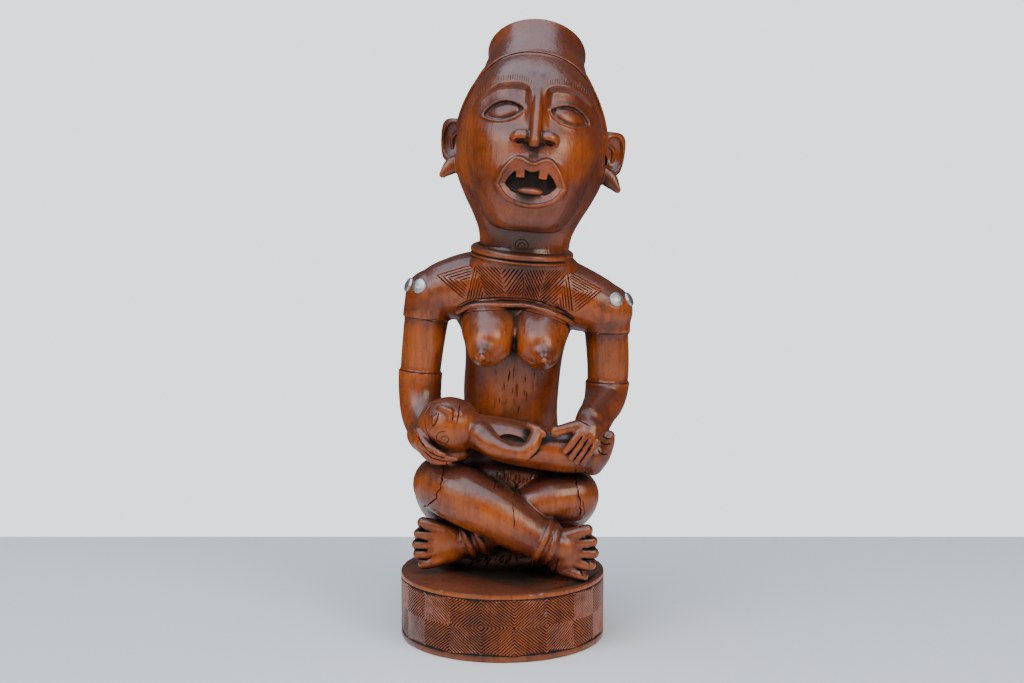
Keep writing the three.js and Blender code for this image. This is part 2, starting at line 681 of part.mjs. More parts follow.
function chestCarving(body) {
  const find = surfaceFinder(body);
  const onChest = (x, z) => find([x, -120, z], [0, 1, 0]).y;
  const line = ([fromX, fromZ], [toX, toZ]) => limb([0, 0.25, 0.5, 0.75, 1].map((share) => {
    const x = fromX + (toX - fromX) * share;
    const z = fromZ + (toZ - fromZ) * share;
    return [x, onChest(x, z), z, CHEST_LINE_WIDTH / 2];
  }), 4, 4, { rounded: false });
  const zigzag = [[-22.4, 168], [-17, 190], [2.2, 170.4], [14.1, 186.2], [22.8, 167.7], [40.3, 185],
    [43.5, 161]];
  const lines = [];
  for (let i = 0; i < zigzag.length - 1; i += 1) lines.push([zigzag[i], zigzag[i + 1]]);
  for (let i = 0; i < zigzag.length - 2; i += 2) {
    const corners = zigzag.slice(i, i + 3);
    const [midX, midZ] = [0, 1].map((axis) => corners.reduce((sum, corner) => sum + corner[axis], 0) / 3);
    const [low, top, right] = corners.map(([x, z]) => [midX + (x - midX) / 2, midZ + (z - midZ) / 2]);
    lines.push([low, top], [top, right]);
  }
  const cuts = lines.map(([from, to]) => line(from, to));
  const cordPath = [[-27.3, 160.4], [-18.5, 164.2], [-3, 165.4], [13.4, 165], [23.8, 162.6], [34.4, 158.5],
    [43.4, 153]];
  const cord = limb(cordPath.map(([x, z]) => [x, onChest(x, z), z, CHEST_CORD_RADIUS]), 4, 8);
  return { cuts, cord };
}

// Tacks: a flat seat and a bore in the shoulder, and a domed head on a short shank

function tackPlaces() {
  const place = ([x, y, z, radius], sideways, forward, up) => {
    const outward = new THREE.Vector3(sideways, -forward, up).normalize();
    const seat = new THREE.Vector3(x, y, z).addScaledVector(outward, radius - TACK_SEAT_DEPTH);
    return { seat: seat.multiplyScalar(UNIT).add(new THREE.Vector3(0, 0, DRUM_HEIGHT)), outward };
  };
  return {
    shoulder_tack_right_front: place(SHOULDER_RIGHT, -0.41, 0.82, 0.4),
    shoulder_tack_right_outer: place(SHOULDER_RIGHT, -0.86, 0.3, 0.41),
    shoulder_tack_left_front: place(SHOULDER_LEFT, 0.33, 0.81, 0.48),
    shoulder_tack_left_outer: place(SHOULDER_LEFT, 0.84, 0.32, 0.45),
  };
}

function onSeat(geometry, { seat, outward }) {
  const turn = new THREE.Quaternion().setFromUnitVectors(new THREE.Vector3(0, 1, 0), outward);
  return geometry.clone().applyQuaternion(turn).translate(seat.x, seat.y, seat.z);
}

function tackBore() {
  const headRadius = TACK_DIAMETER / 2 + TACK_CLEARANCE;
  const shankRadius = TACK_SHANK_DIAMETER / 2 + TACK_CLEARANCE;
  const deep = TACK_SHANK_LENGTH + TACK_CLEARANCE;
  return new THREE.LatheGeometry([
    [0, -deep], [shankRadius, -deep], [shankRadius, 0], [headRadius, 0], [headRadius, 8], [0, 8],
  ].map(([radius, height]) => new THREE.Vector2(radius, height)), 12);
}

function tack() {
  const headRadius = TACK_DIAMETER / 2;
  const low = TACK_CLEARANCE;
  const dome = [0, 1, 2].map((step) => {
    const angle = step * Math.PI / 6;
    return [headRadius * Math.cos(angle), low + 0.5 + (TACK_DOME_HEIGHT - 0.5) * Math.sin(angle)];
  });
  return new THREE.LatheGeometry([
    [0, -TACK_SHANK_LENGTH], [TACK_SHANK_DIAMETER / 2, -TACK_SHANK_LENGTH + 1.5],
    [TACK_SHANK_DIAMETER / 2, low], [headRadius, low], ...dome, [0, low + TACK_DOME_HEIGHT],
  ].map(([radius, height]) => new THREE.Vector2(radius, height)), 12);
}

// The whole object

function motherAndChild() {
  const torso = join([
    trunk(),
    breast(-5.5, -11.6, 137),
    breast(22.5, 25, 135),
  ]);
  const spine = limb([[10, 41, 190, 2.5], [8, 43.5, 160, 3], [5.5, 45, 110, 3], [4.5, 51, 60, 3],
    [3, 57, 20, 4]], 6, 6);
  const { cuts, cord } = chestCarving(torso);
  const carved = [...cuts, spine].reduce((whole, cut) => whole.subtract(cut), torso).add(cord);
  const arms = join([
    limb(ARM_RIGHT, 10, 9, { bands: [[0.13, -ARM_LINE_DEPTH], [0.443, -ARM_LINE_DEPTH]] }),
    limb(ARM_LEFT, 10, 9, { bands: [[0.154, -ARM_LINE_DEPTH], [0.436, -ARM_LINE_DEPTH]] }),
  ]);
  const upright = join([
    carved, arms, rightHand(), leftHand(), legs(), child(), head(), collar(),
  ]);
  const geometry = toGeometry(upright);
  geometry.scale(UNIT, UNIT, UNIT);
  geometry.translate(0, 0, DRUM_HEIGHT);
  return toSolid(geometry);
}

const wood = new THREE.MeshStandardMaterial({ color: 0x7a3a1a, roughness: 0.38, metalness: 0 });
const tackMetal = new THREE.MeshStandardMaterial({ color: 0xb9b4aa, roughness: 0.3, metalness: 1 });

const group = new THREE.Group();
let figureSolid = drum().add(motherAndChild());
for (const [name, place] of Object.entries(tackPlaces())) {
  figureSolid = figureSolid.subtract(toSolid(onSeat(tackBore(), place)));
  const mesh = new THREE.Mesh(onSeat(tack(), place), tackMetal);
  mesh.name = name;
  group.add(mesh);
}
const carving = withoutCrumbs(drawTogether(toGeometry(figureSolid), JOIN_SLACK));
const figure = new THREE.Mesh(carving, wood);
figure.name = 'mother_and_child';
group.add(figure);

export default group;
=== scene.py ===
import math

import bmesh
import bpy
import numpy as np
from mathutils import Matrix, Vector, noise
from mathutils.bvhtree import BVHTree


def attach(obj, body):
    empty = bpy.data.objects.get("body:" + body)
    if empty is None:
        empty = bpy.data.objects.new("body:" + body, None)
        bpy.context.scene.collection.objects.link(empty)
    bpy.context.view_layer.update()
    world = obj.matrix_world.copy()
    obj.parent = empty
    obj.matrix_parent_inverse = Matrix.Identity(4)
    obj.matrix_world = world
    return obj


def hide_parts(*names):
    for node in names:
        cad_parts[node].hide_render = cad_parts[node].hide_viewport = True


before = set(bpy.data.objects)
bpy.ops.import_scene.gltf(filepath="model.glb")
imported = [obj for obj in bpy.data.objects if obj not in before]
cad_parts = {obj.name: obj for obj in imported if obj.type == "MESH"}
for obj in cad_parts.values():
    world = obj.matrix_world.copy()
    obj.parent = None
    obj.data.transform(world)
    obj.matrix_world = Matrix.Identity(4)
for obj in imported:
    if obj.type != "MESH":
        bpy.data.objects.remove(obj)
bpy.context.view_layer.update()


# The drum is the foot of the block, a round base with plain borders above and below a band of nested
# diamonds. Each line is a V cut freehand with a knife, so its course and depth waver a little.
# It and the whole figure are shaped in millimetres and brought to metres at the end.
DRUM_RADIUS = 63.4
DRUM_HEIGHT = 41
BAND_LOW = 4
BAND_HIGH = 37.6
DIAMONDS_AROUND = 10
LINES_PER_DIAMOND = 9
FIRST_DIAMOND = math.radians(-11.2)
LINE_DEPTH = 0.75
RIDGE_START = 0.29
RIDGE_END = 0.69
STEPS_ALONG_LINE = 7


def pick(*objects):
    bpy.ops.object.select_all(action="DESELECT")
    for obj in objects:
        obj.select_set(True)
    bpy.context.view_layer.objects.active = objects[0]


def finish_with(obj, kind, **settings):
    pick(obj)
    modifier = obj.modifiers.new(kind, kind)
    for name, value in settings.items():
        setattr(modifier, name, value)
    bpy.ops.object.modifier_apply(modifier=modifier.name)


def new_piece(name, points, faces):
    mesh = bpy.data.meshes.new(name)
    mesh.from_pydata([tuple(p) for p in points], [], faces)
    obj = bpy.data.objects.new(name, mesh)
    bpy.context.scene.collection.objects.link(obj)
    return obj


def waver(x, y, z, size, seed=0):
    """A hand's smooth waver of up to about the size either way, the same on each run."""
    return size * noise.noise(Vector((x * 0.11 + seed, y * 0.11, z * 0.17)))


def on_drum(angle, z, depth):
    """The place on the drum's side at an angle and height, cut in by a depth and wavering with the knife."""
    x, y = math.sin(angle), -math.cos(angle)
    at_edge = min(z - BAND_LOW, BAND_HIGH - z) < 0.01
    turn = 0 if at_edge else waver(60 * x, 60 * y, z, 0.011, 3)
    lift = 0 if at_edge else waver(60 * x, 60 * y, z, 0.8, 8)
    deep = depth * (1 + waver(120 * x, 120 * y, 3 * z, 0.5, 5))
    x, y = math.sin(angle + turn), -math.cos(angle + turn)
    return ((DRUM_RADIUS - deep) * x, (DRUM_RADIUS - deep) * y, z + lift)


def carved_drum():
    half_angle = math.pi / DIAMONDS_AROUND
    half_height = (BAND_HIGH - BAND_LOW) / 2
    middle = (BAND_HIGH + BAND_LOW) / 2
    levels = [(0, 1)]
    for line in range(LINES_PER_DIAMOND):
        levels += [((line + share) / LINES_PER_DIAMOND, cut)
                   for share, cut in ((RIDGE_START, 0), (RIDGE_END, 0), (1, 1))]
    points = []
    faces = []

    def quarter(angle, z, across, up):
        first = len(points)
        for share, cut in levels:
            for step in range(STEPS_ALONG_LINE + 1):
                part = step / STEPS_ALONG_LINE
                level_z = z + up * half_height * share * part
                edge = min(level_z - BAND_LOW, BAND_HIGH - level_z) < 0.01
                points.append(on_drum(angle + across * half_angle * share * (1 - part), level_z,
                                      LINE_DEPTH if edge or cut else 0))
        row = STEPS_ALONG_LINE + 1
        for level in range(len(levels) - 1):
            for step in range(STEPS_ALONG_LINE):
                a = first + level * row + step
                face = (a, a + 1, a + row + 1, a + row)
                faces.append(face if across * up < 0 else face[::-1])

    for diamond in range(DIAMONDS_AROUND):
        angle = FIRST_DIAMOND + diamond * 2 * half_angle
        for across in (-1, 1):
            quarter(angle, middle, across, 1)
            quarter(angle, middle, across, -1)
            quarter(angle + half_angle, middle - half_height, across, 1)
            quarter(angle + half_angle, middle + half_height, across, -1)
    drum = new_piece("drum", points, faces)
    mesh = bmesh.new()
    mesh.from_mesh(drum.data)
    bmesh.ops.remove_doubles(mesh, verts=mesh.verts, dist=0.02)
    bmesh.ops.dissolve_degenerate(mesh, edges=mesh.edges, dist=0.01)
    # The plain borders and the flat ends close the band. Their rims are rounded over and nicked by wear.
    for top in (True, False):
        edges = [e for e in mesh.edges if e.is_boundary and (e.verts[0].co.z > middle) == top]
        end, sign, edge_z = (DRUM_HEIGHT, 1, BAND_HIGH) if top else (0, -1, BAND_LOW)
        rings = ((edge_z + sign * 0.5, 0), (end - sign * 1.1, 0), (end - sign * 0.35, 0.3), (end, 1.1))
        for ring_z, inset in rings:
            grown = bmesh.ops.extrude_edge_only(mesh, edges=edges)["geom"]
            edges = [e for e in grown if isinstance(e, bmesh.types.BMEdge) and e.is_boundary]
            for vert in {v for e in edges for v in e.verts}:
                flat = Vector((vert.co.x, vert.co.y)).normalized()
                nick = max(0, waver(90 * flat.x, 90 * flat.y, end, 2.2, 1) - 0.5) if inset else 0
                flat *= DRUM_RADIUS - inset - nick
                vert.co = (flat.x, flat.y, ring_z)
        bmesh.ops.contextual_create(mesh, geom=edges)
    bmesh.ops.recalc_face_normals(mesh, faces=mesh.faces)
    bmesh.ops.triangulate(mesh, faces=mesh.faces)
    mesh.to_mesh(drum.data)
    mesh.free()
    return drum


drum = carved_drum()


# The mother is carved above the drum from the same wood. Her trunk and each limb are roughed out as round
# forms, welded into one skin and rubbed smooth. Heights are above the drum's top.
SKIN_GRAIN = 0.75
SHOULDER_RIGHT = (-44.5, 12, 170.5, 16)
SHOULDER_LEFT = (64.3, 12, 160.5, 17.2)


def smooth_through(table, steps):
    """Rows along a smooth curve through the rows of a table."""
    table = np.array(table, float)
    knots = np.vstack([2 * table[0] - table[1], table, 2 * table[-1] - table[-2]])
    rows = []
    for i in range(len(table) - 1):
        a, b, c, d = knots[i:i + 4]
        for t in np.arange(steps) / steps:
            rows.append(0.5 * (2 * b + (c - a) * t + (2 * a - 5 * b + 4 * c - d) * t ** 2
                               + (3 * b - a - 3 * c + d) * t ** 3))
    rows.append(table[-1])
    return np.array(rows)


def skin_over(name, rings):
    sides = len(rings[0])
    faces = []
    for low in range(0, (len(rings) - 1) * sides, sides):
        faces += [(low + s, low + (s + 1) % sides, low + sides + (s + 1) % sides, low + sides + s)
                  for s in range(sides)]
    last = (len(rings) - 1) * sides
    faces += [tuple(reversed(range(sides))), tuple(range(last, last + sides))]
    return new_piece(name, [point for ring in rings for point in ring], faces)


def ball(centre, radii, turn=(0, 0, 0)):
    bpy.ops.object.select_all(action="DESELECT")
    bpy.ops.mesh.primitive_uv_sphere_add(segments=40, ring_count=20, location=centre, scale=radii,
                                         rotation=[math.radians(a) for a in turn])
    obj = bpy.context.object
    bpy.ops.object.transform_apply()
    return obj


def limb(stations, thin=1):
    """A round-ended limb through stations (x, y, z, radius), made thinner from front to back."""
    rows = smooth_through(stations, 6)
    turns = [2 * math.pi * side / 24 for side in range(24)]
    rings = []
    for i, (x, y, z, radius) in enumerate(rows):
        along = Vector(rows[min(i + 1, len(rows) - 1)][:3]) - Vector(rows[max(i - 1, 0)][:3])
        across = along.cross(Vector((0, 1, 0))).normalized()
        deep = across.cross(along).normalized()
        rings.append([Vector((x, y, z)) + across * (radius * math.cos(a))
                      + deep * (radius * thin * math.sin(a)) for a in turns])
    ends = [ball((x, y, z), (radius, radius * thin, radius)) for x, y, z, radius in rows[[0, -1]]]
    return [skin_over("limb", rings), *ends]


def stack(sections, squareness):
    """Level sections (z, centre x, centre y, half width, front depth, back depth), drawn into one form."""
    rings = []
    for z, x, y, width, front, back in smooth_through(sections, 5):
        ring = []
        for side in range(64):
            a = 2 * math.pi * side / 64
            c, s = (math.copysign(abs(v) ** (2 / squareness), v) for v in (math.cos(a), math.sin(a)))
            ring.append((x + width * c, y + (back if s > 0 else front) * s, z))
        rings.append(ring)
    return skin_over("stack", rings)


def flatten(parts):
    for part in parts:
        if isinstance(part, list):
            yield from flatten(part)
        else:
            yield part


def weld(name, parts, grain, rubs):
    """Makes overlapping forms one closed skin of small faces, and rubs it smooth."""
    parts = list(flatten(parts))
    pick(*parts)
    if len(parts) > 1:
        bpy.ops.object.join()
    whole = bpy.context.object
    whole.name = name
    finish_with(whole, "REMESH", mode="VOXEL", voxel_size=grain)
    finish_with(whole, "SMOOTH", factor=0.5, iterations=rubs)
    return whole


trunk = [
    stack([
        (-2, 3, 24, 41, 27, 31), (14, 3, 24, 45, 29, 33), (35, 3.5, 24, 43, 27, 31),
        (62, 4.5, 24, 35, 25, 26), (90, 5, 22, 30, 25, 21), (112, 5.6, 22, 30.2, 25, 21),
        (134, 7.6, 20.5, 31, 25, 21.5), (149, 8.7, 19, 35, 25, 23), (162, 9, 18, 42, 25, 23),
        (178, 9.8, 16.5, 44, 24.5, 23), (188, 10.8, 14, 38, 25.5, 24.5), (195, 12, 12.3, 31, 28, 28),
        (201, 12, 12, 28, 26, 26),
    ], 2.2),
    limb([SHOULDER_RIGHT, (-34, 13, 173.5, 19), (-18, 15, 175.5, 22), (9, 16, 177, 23),
          (32, 15, 172.5, 22.5), (51, 13.5, 166.5, 19.5), SHOULDER_LEFT]),
]
# Each breast is a broad cone that starts right under the chest cord and ends in a small nipple.
for stations in (
    [(-7.4, 8, 155, 19), (-7.2, -3, 149.6, 18), (-8.3, -12, 143.2, 15.3), (-10.6, -20, 138.4, 10.8),
     (-11.7, -26.5, 136.4, 5)],
    [(23, 8, 153, 19), (22.7, -3, 147.6, 17.8), (23, -12, 141.2, 15.3), (24.7, -20, 136.5, 10.8),
     (25.3, -26.5, 134.5, 5)],
):
    x, y, z, radius = stations[-1]
    trunk += [limb(stations), ball((x, y - 4.2, z - 0.3), (2.5, 3.2, 2.4))]


# Her arms hang free of the trunk, of the same wood and roughed out in the same way. The right hand lies
# under the child's head and the left one on its thigh, with long fingers that knife cuts part later.
arms = [
    limb([SHOULDER_RIGHT, (-47.5, 12, 155, 15), (-49.7, 12.5, 139, 14.4), (-51.3, 13, 124, 13.9),
          (-51.8, 12, 109, 13.4), (-50.4, 5, 96, 12.6), (-46.5, -8, 87, 10.6), (-42, -18, 82, 9)]),
    limb([SHOULDER_LEFT, (65, 12, 149, 15), (66.2, 12.5, 129, 14.4), (65.8, 12, 115, 13.9),
          (63.6, 6, 105, 12.8), (58.8, -8, 100, 11), (53.6, -19, 98, 8.6), (51, -26, 95.6, 7),
          (50.4, -31, 92, 5.4)]),
]
right_hand = [
    limb([(-50, -10, 86, 8.8), (-48.5, -21, 84.5, 7.6), (-45, -27, 80.5, 5.4)]),
    ball((-34, -14, 76), (15, 13, 8)),
]
RIGHT_FINGERS = [(3.8, -34.5), (0.6, -27.5), (-2.2, -31)]
for lift, tip_x in RIGHT_FINGERS:
    right_hand.append(limb([
        (-50.5, -27 + lift / 2, 86.5 + lift, 2.9),
        (-45.5, -32 - lift / 3, 79.5 + lift, 2.7),
        (-39, -34 - lift / 3, 75.9 + lift * 0.9, 2.4),
        (tip_x, -34 - lift / 3, 74.6 + lift * 0.8, 1.5),
    ]))

FINGER_ROOTS = [(46.5, 91), (50.1, 89.9), (53.4, 87.8), (55.4, 84.2)]
FINGER_TIPS = [(37.8, 79.9), (40.9, 76.1), (44.6, 73.6), (48, 72.9)]
left_hand = [
    limb([(52.4, -25, 97, 8.4), (51.4, -31, 94, 8.3), (51.5, -34, 88.8, 6.8)], 0.6),
    limb([(60, -9, 98, 9.5), (57.5, -19, 92.5, 8), (57, -22, 85, 7)]),
    limb([(48, -32, 95, 4.4), (40, -34.4, 94, 3.5), (35.5, -35.2, 92.8, 3.3), (32, -35, 92, 3.7)]),
]
for (root_x, root_z), (tip_x, tip_z) in zip(FINGER_ROOTS, FINGER_TIPS):
    left_hand.append(limb([
        (root_x + 1, -35.4, root_z + 1.5, 2.6),
        ((root_x + tip_x) / 2, -38, (root_z + tip_z) / 2 + 0.6, 2.3),
        (tip_x, -36.6, tip_z, 2),
    ]))


# She sits cross-legged, the right shin in front. Each foot stands on its outer edge with the big toe on
# top, and two raised anklets ring each ankle.
LEFT_SHIN = [(43.5, -7, 47, 16.3), (26, -14, 45.5, 14.8), (6, -12, 36, 13.5), (-10, -11, 25, 11.5),
             (-24, -12, 19, 9.4)]
RIGHT_SHIN = [(-37.5, -9, 54.5, 17.5), (-24, -20, 50, 18), (-6, -26, 42, 17), (12, -28, 31, 14.5),
              (25, -29, 24, 12), (36, -29, 20.5, 11)]
LEFT_FOOT = [(-22, -12, 19, 9), (-28, -13, 18.6, 11.5), (-32.5, -14, 19, 13.6), (-35, -14, 19.2, 13.8)]
RIGHT_FOOT = [(31, -29, 19.5, 12), (35, -29.5, 18.4, 14), (38, -30, 17.6, 14.6)]
LEFT_TOE_TIPS = [(-51.6, 32.4), (-54, 25.4), (-55.2, 18.8), (-54.6, 12.6), (-51.6, 6.2)]
RIGHT_TOE_TIPS = [(54.2, 31.6), (57.2, 24.6), (58.2, 17.4), (56.4, 10), (52, 2.9)]


def foot(stations, tips):
    parts = [limb(stations, 0.56)]
    x, y, z = stations[-1][:3]
    for i, (tip_x, tip_z) in enumerate(tips):
        outward = math.copysign(1, tip_x)
        radius = 4 - 0.12 * i
        parts.append(limb([
            (tip_x - outward * 15, y - 2, z + (tip_z - z) * 0.72, radius + 0.6),
            (tip_x - outward * 7.5, y - 3.8, z + (tip_z - z) * 0.9, radius + 0.1),
            (tip_x - outward * 3, y - 3.2, tip_z, radius - 0.3),
        ]))
    return parts


def anklets(stations, shares, rise):
    rows = smooth_through(stations, 20)
    rings = []
    for share in shares:
        i = round(share * (len(rows) - 1))
        along = Vector(rows[i + 1][:3]) - Vector(rows[i - 1][:3])
        bpy.ops.object.select_all(action="DESELECT")
        bpy.ops.mesh.primitive_torus_add(major_segments=48, minor_segments=12, major_radius=rows[i][3],
                                         minor_radius=rise, location=rows[i][:3],
                                         rotation=along.to_track_quat("Z", "Y").to_euler())
        bpy.ops.object.transform_apply()
        rings.append(bpy.context.object)
    return rings


legs = [
    ball((-17, 32, 17), (25, 24, 22)),
    ball((23, 32, 17), (25, 24, 22)),
    limb([(-18, 30, 24, 20), (-33, 12, 42, 20), (-37.5, -5, 54, 18)]),
    limb([(24, 30, 23, 20), (40, 12, 40, 19), (43.5, -4, 47, 16.5)]),
    limb(LEFT_SHIN),
    limb(RIGHT_SHIN),
    anklets(LEFT_SHIN, (0.83, 0.95), 2.2),
    anklets(RIGHT_SHIN, (0.79, 0.89), 2.2),
    foot(LEFT_FOOT, LEFT_TOE_TIPS),
    foot(RIGHT_FOOT, RIGHT_TOE_TIPS),
    ball((4, 6, 6), (40, 17, 15)),
    ball((5, 6, 57), (36, 24, 18)),
]


# The child lies on its back across her lap with its knees drawn up, one bent arm along its side and the
# soles of its feet turned up at the far end.
child = [
    ball((-32, -19, 93), (19.5, 17, 17.5)),
    limb([(-14, -20, 89, 11), (0, -20, 84.5, 13.6), (20, -19, 80, 13.5), (40, -20, 77, 12.8),
          (54, -21, 75, 10.5)]),
    limb([(-13, -29, 89, 8), (-6, -34.5, 84, 6.6), (3, -37.5, 80.6, 5.2), (13, -38.5, 79.4, 5)]),
    limb([(13, -38.5, 79.4, 5), (18, -37.5, 84, 4.3), (20.8, -34, 90, 4), (22, -31, 92.5, 3)]),
    limb([(16, -31, 95, 2.4), (21, -34.5, 93, 2.6), (25, -35, 90.5, 2.2)]),
    limb([(55, -21, 69, 6.5), (60, -23, 76, 6), (64, -24, 84.5, 4.4), (65.2, -24, 87.5, 3.2)]),
    limb([(54, -15, 70, 6), (59, -14, 78, 5), (62.5, -13, 85.5, 3.6)]),
    limb([(-37.5, -31, 106.4, 1.3), (-34, -32.6, 105, 2.1), (-31.4, -33, 103.4, 2.6)]),
    ball((-31, -34.2, 100.6), (1.7, 1.9, 1.9)),
    limb([(-27, -28.4, 105.6, 0.8), (-27.4, -31.9, 102.6, 1.5), (-28, -33.6, 99.4, 0.8)]),
    limb([(-24.4, -27.8, 104.8, 0.8), (-24.6, -31.2, 102, 1.5), (-25.2, -32.8, 99, 0.8)]),
    limb([(-38.8, -31.4, 101.8, 0.8), (-40.2, -32.6, 99, 1.6), (-41.2, -32.6, 96, 0.8)]),
]
body = weld("body", [trunk, arms, right_hand, left_hand, legs, child], SKIN_GRAIN, 3)


# Each upper arm is cut back between the shoulder and the elbow, which leaves an edge like a sleeve's at
# both ends. The bands are (axis x, low height, high height, how much they tilt). A shallow groove is
# cut down her back.
ARM_BANDS = [(-50, 122.4, 156.6, 0.1), (66, 115.8, 147.6, 0.04)]
ARM_AXIS_Y = 12.3
ARM_BAND_DEPTH = 1.2
SPINE_DEPTH = 1.8


def ease(low, high, value):
    t = np.clip((value - low) / (high - low), 0, 1)
    return t * t * (3 - 2 * t)


def points_of(obj):
    places = np.empty(3 * len(obj.data.vertices), np.float32)
    obj.data.vertices.foreach_get("co", places)
    return places.reshape(-1, 3)


def normals_of(obj):
    normals = np.empty(3 * len(obj.data.vertices), np.float32)
    obj.data.vertices.foreach_get("normal", normals)
    return normals.reshape(-1, 3)


def move_points(obj, places):
    obj.data.vertices.foreach_set("co", places.ravel())
    obj.data.update()


places = points_of(body)
for axis_x, low, high, tilt in ARM_BANDS:
    out = places[:, :2] - (axis_x, ARM_AXIS_Y)
    reach = np.maximum(np.linalg.norm(out, axis=1), 0.1)
    height = places[:, 2] + tilt * out[:, 0]
    depth = ARM_BAND_DEPTH * ease(low, low + 1.2, height) * (1 - ease(high - 1.2, high, height))
    places[:, :2] -= out * (depth * (reach < 18) / reach)[:, None]
spine_x = np.interp(places[:, 2], (60, 190), (4.5, 11))
depth = SPINE_DEPTH * np.clip(1 - np.abs(places[:, 0] - spine_x) / 6, 0, 1) ** 1.5
depth *= ease(55, 80, places[:, 2]) * (1 - ease(160, 185, places[:, 2])) * (normals_of(body)[:, 1] > 0.3)
places[:, 1] -= depth
move_points(body, places)


# The head leans a little to her left on a thick neck. It is shaped upright in a frame of its own, whose
# origin is the middle of the neck: a tall skull, a broad face and a round cap tilted back.
HEAD_GRAIN = 0.5
NECK = (13.5, 12, 199)
HEAD_LEAN = 5
CAP_TILT = 39
CAP_FLARE = 0.11


def surface_of(obj):
    return BVHTree.FromPolygons([v.co for v in obj.data.vertices], [p.vertices for p in obj.data.polygons])


def lathe(profile):
    turns = [2 * math.pi * side / 96 for side in range(96)]
    return skin_over("lathe", [[(r * math.cos(a), r * math.sin(a), z) for a in turns] for r, z in profile])


def settle(obj, matrix):
    obj.data.transform(matrix)
    return obj


skull = stack([(z, -0.02 * z, 0, width, front, back) for z, width, front, back in (
    (-8, 27.5, 26, 26), (8, 28.6, 27.5, 28.5), (19, 33, 33.5, 33.5), (31, 39.5, 41, 39.5),
    (44, 45, 47, 43.5), (58, 46.3, 48.5, 45.5), (74, 45.6, 47.3, 45.5), (88, 42, 43.5, 42.5),
    (100, 37, 38, 37.5), (110, 31, 30, 30), (118, 22, 20, 19))], 2)
face = stack([(z, -0.02 * z, 0, width, front, 5) for z, width, front in (
    (12, 14, 42), (13.2, 20, 47.5), (16, 24, 50.8), (21, 27.5, 53.3), (32, 33.5, 55.2), (46, 39.5, 55.2),
    (60, 42.5, 53), (74, 43, 50), (88, 40.2, 47), (98, 36.5, 43), (107, 31, 36.5), (115, 23, 27.5),
    (121.5, 9, 17))], 2.5)
cap = lathe([(12, -37), (24, -37), (30, -27), (29.9, -19), (29.7, -12), (30.1, -5), (30.9, -1),
             (30.4, -0.2), (29.6, 0), (27.8, 0), (26.7, -0.4), (10, -0.6)])
places = points_of(cap)
places[:, 0] *= 1 + CAP_FLARE * ease(6, 28, -places[:, 2])
move_points(cap, places)
settle(cap, Matrix.Translation((-2.4, 21, 121.8)) @ Matrix.Rotation(math.radians(-CAP_TILT), 4, "X"))
muzzle = ball((0, -49, 41), (22, 9.5, 18))
crowned = weld("crowned", [skull, face, cap, muzzle], HEAD_GRAIN, 6)

# The headband is a thin raised cord that runs from ear to ear over the brow, with a line cut on each side.
BAND_RADIUS = 1.5
surface = surface_of(crowned)
band = []
for angle in range(4, 177, 6):
    across, rise = math.cos(math.radians(angle)), math.sin(math.radians(angle))
    y = -6 - 20.5 * max(0, rise - 0.1) ** 2
    hit = surface.ray_cast(Vector((150 * across, y, 62 + 150 * rise)), Vector((-across, 0, -rise)))[0]
    band.append((*hit, BAND_RADIUS))

# The face is plain and even: an arched brow over hollow sockets, almond eyes with a raised rim and no
# pupil, a straight nose with spread wings, and open lips with two teeth and the tip of a tongue.
BROW = [(3, 95), (6, 97.6), (10, 98.8), (15, 99), (24, 97.5), (31, 92.5), (36, 87), (41, 78)]
SOCKET_DEPTH = 4.4
EYE_CENTRE = (19.5, 80.4)
EYE_HALF_LENGTH = 13
EYE_TILT = math.radians(14)
UPPER_LID = 7.2
LOWER_LID = 5.2
EYE_BALL = (9.2, 4)
MOUTH_MIDDLE = 40
PHILTRUM = (50, 61.5)


def press(obj, depth_at):
    """Pushes a front-facing skin back by the depth for each place (x, z)."""
    places = points_of(obj)
    front = normals_of(obj)[:, 1] < 0.15
    places[front, 1] += depth_at(places[front, 0], places[front, 2])
    move_points(obj, places)


def socket_depth(x, z):
    side = np.abs(x)
    brow = np.interp(side, [p[0] for p in BROW], [p[1] for p in BROW])
    down = ease(0, 4.5, brow - z) * ease(62, 85, z)
    across = ease(2.4, 9, side) * (1 - ease(27, 42, side))
    return SOCKET_DEPTH * down * across


def eye_depth(x, z):
    side = np.abs(x) - EYE_CENTRE[0]
    up = z - EYE_CENTRE[1]
    along = side * math.cos(EYE_TILT) - up * math.sin(EYE_TILT)
    rise = side * math.sin(EYE_TILT) + up * math.cos(EYE_TILT)
    lid = np.where(rise > 0, UPPER_LID, LOWER_LID)
    inside = lid * np.clip(1 - (along / EYE_HALF_LENGTH) ** 2, 0, 1) ** 0.85 - np.abs(rise)
    length, height = EYE_BALL
    bulge = np.sqrt(np.clip(1 - ((along + 0.5) / length) ** 2 - ((rise - 0.6) / height) ** 2, 0, 1))
    return 1.8 * ease(0, 1.2, inside) - 1.9 * bulge


def philtrum_depth(x, z):
    low, high = PHILTRUM
    return 1.1 * np.clip(1 - np.abs(x) / 2.4, 0, 1) * ease(low, low + 2, z) * (1 - ease(high - 4, high, z))


for depth_at in (socket_depth, eye_depth, philtrum_depth):
    press(crowned, depth_at)
surface = surface_of(crowned)


def on_face(x, z):
    return surface.ray_cast(Vector((x, -150, z)), Vector((0, 1, 0)))[0].y


def lid_line(side, lid):
    line = []
    for way in np.linspace(-1, 1, 15):
        along = EYE_HALF_LENGTH * way
        rise = lid * (1 - way ** 2) ** 0.85
        x = side * (EYE_CENTRE[0] + along * math.cos(EYE_TILT) + rise * math.sin(EYE_TILT))
        z = EYE_CENTRE[1] - along * math.sin(EYE_TILT) + rise * math.cos(EYE_TILT)
        line.append((x, on_face(x, z), z, 0.95))
    return line


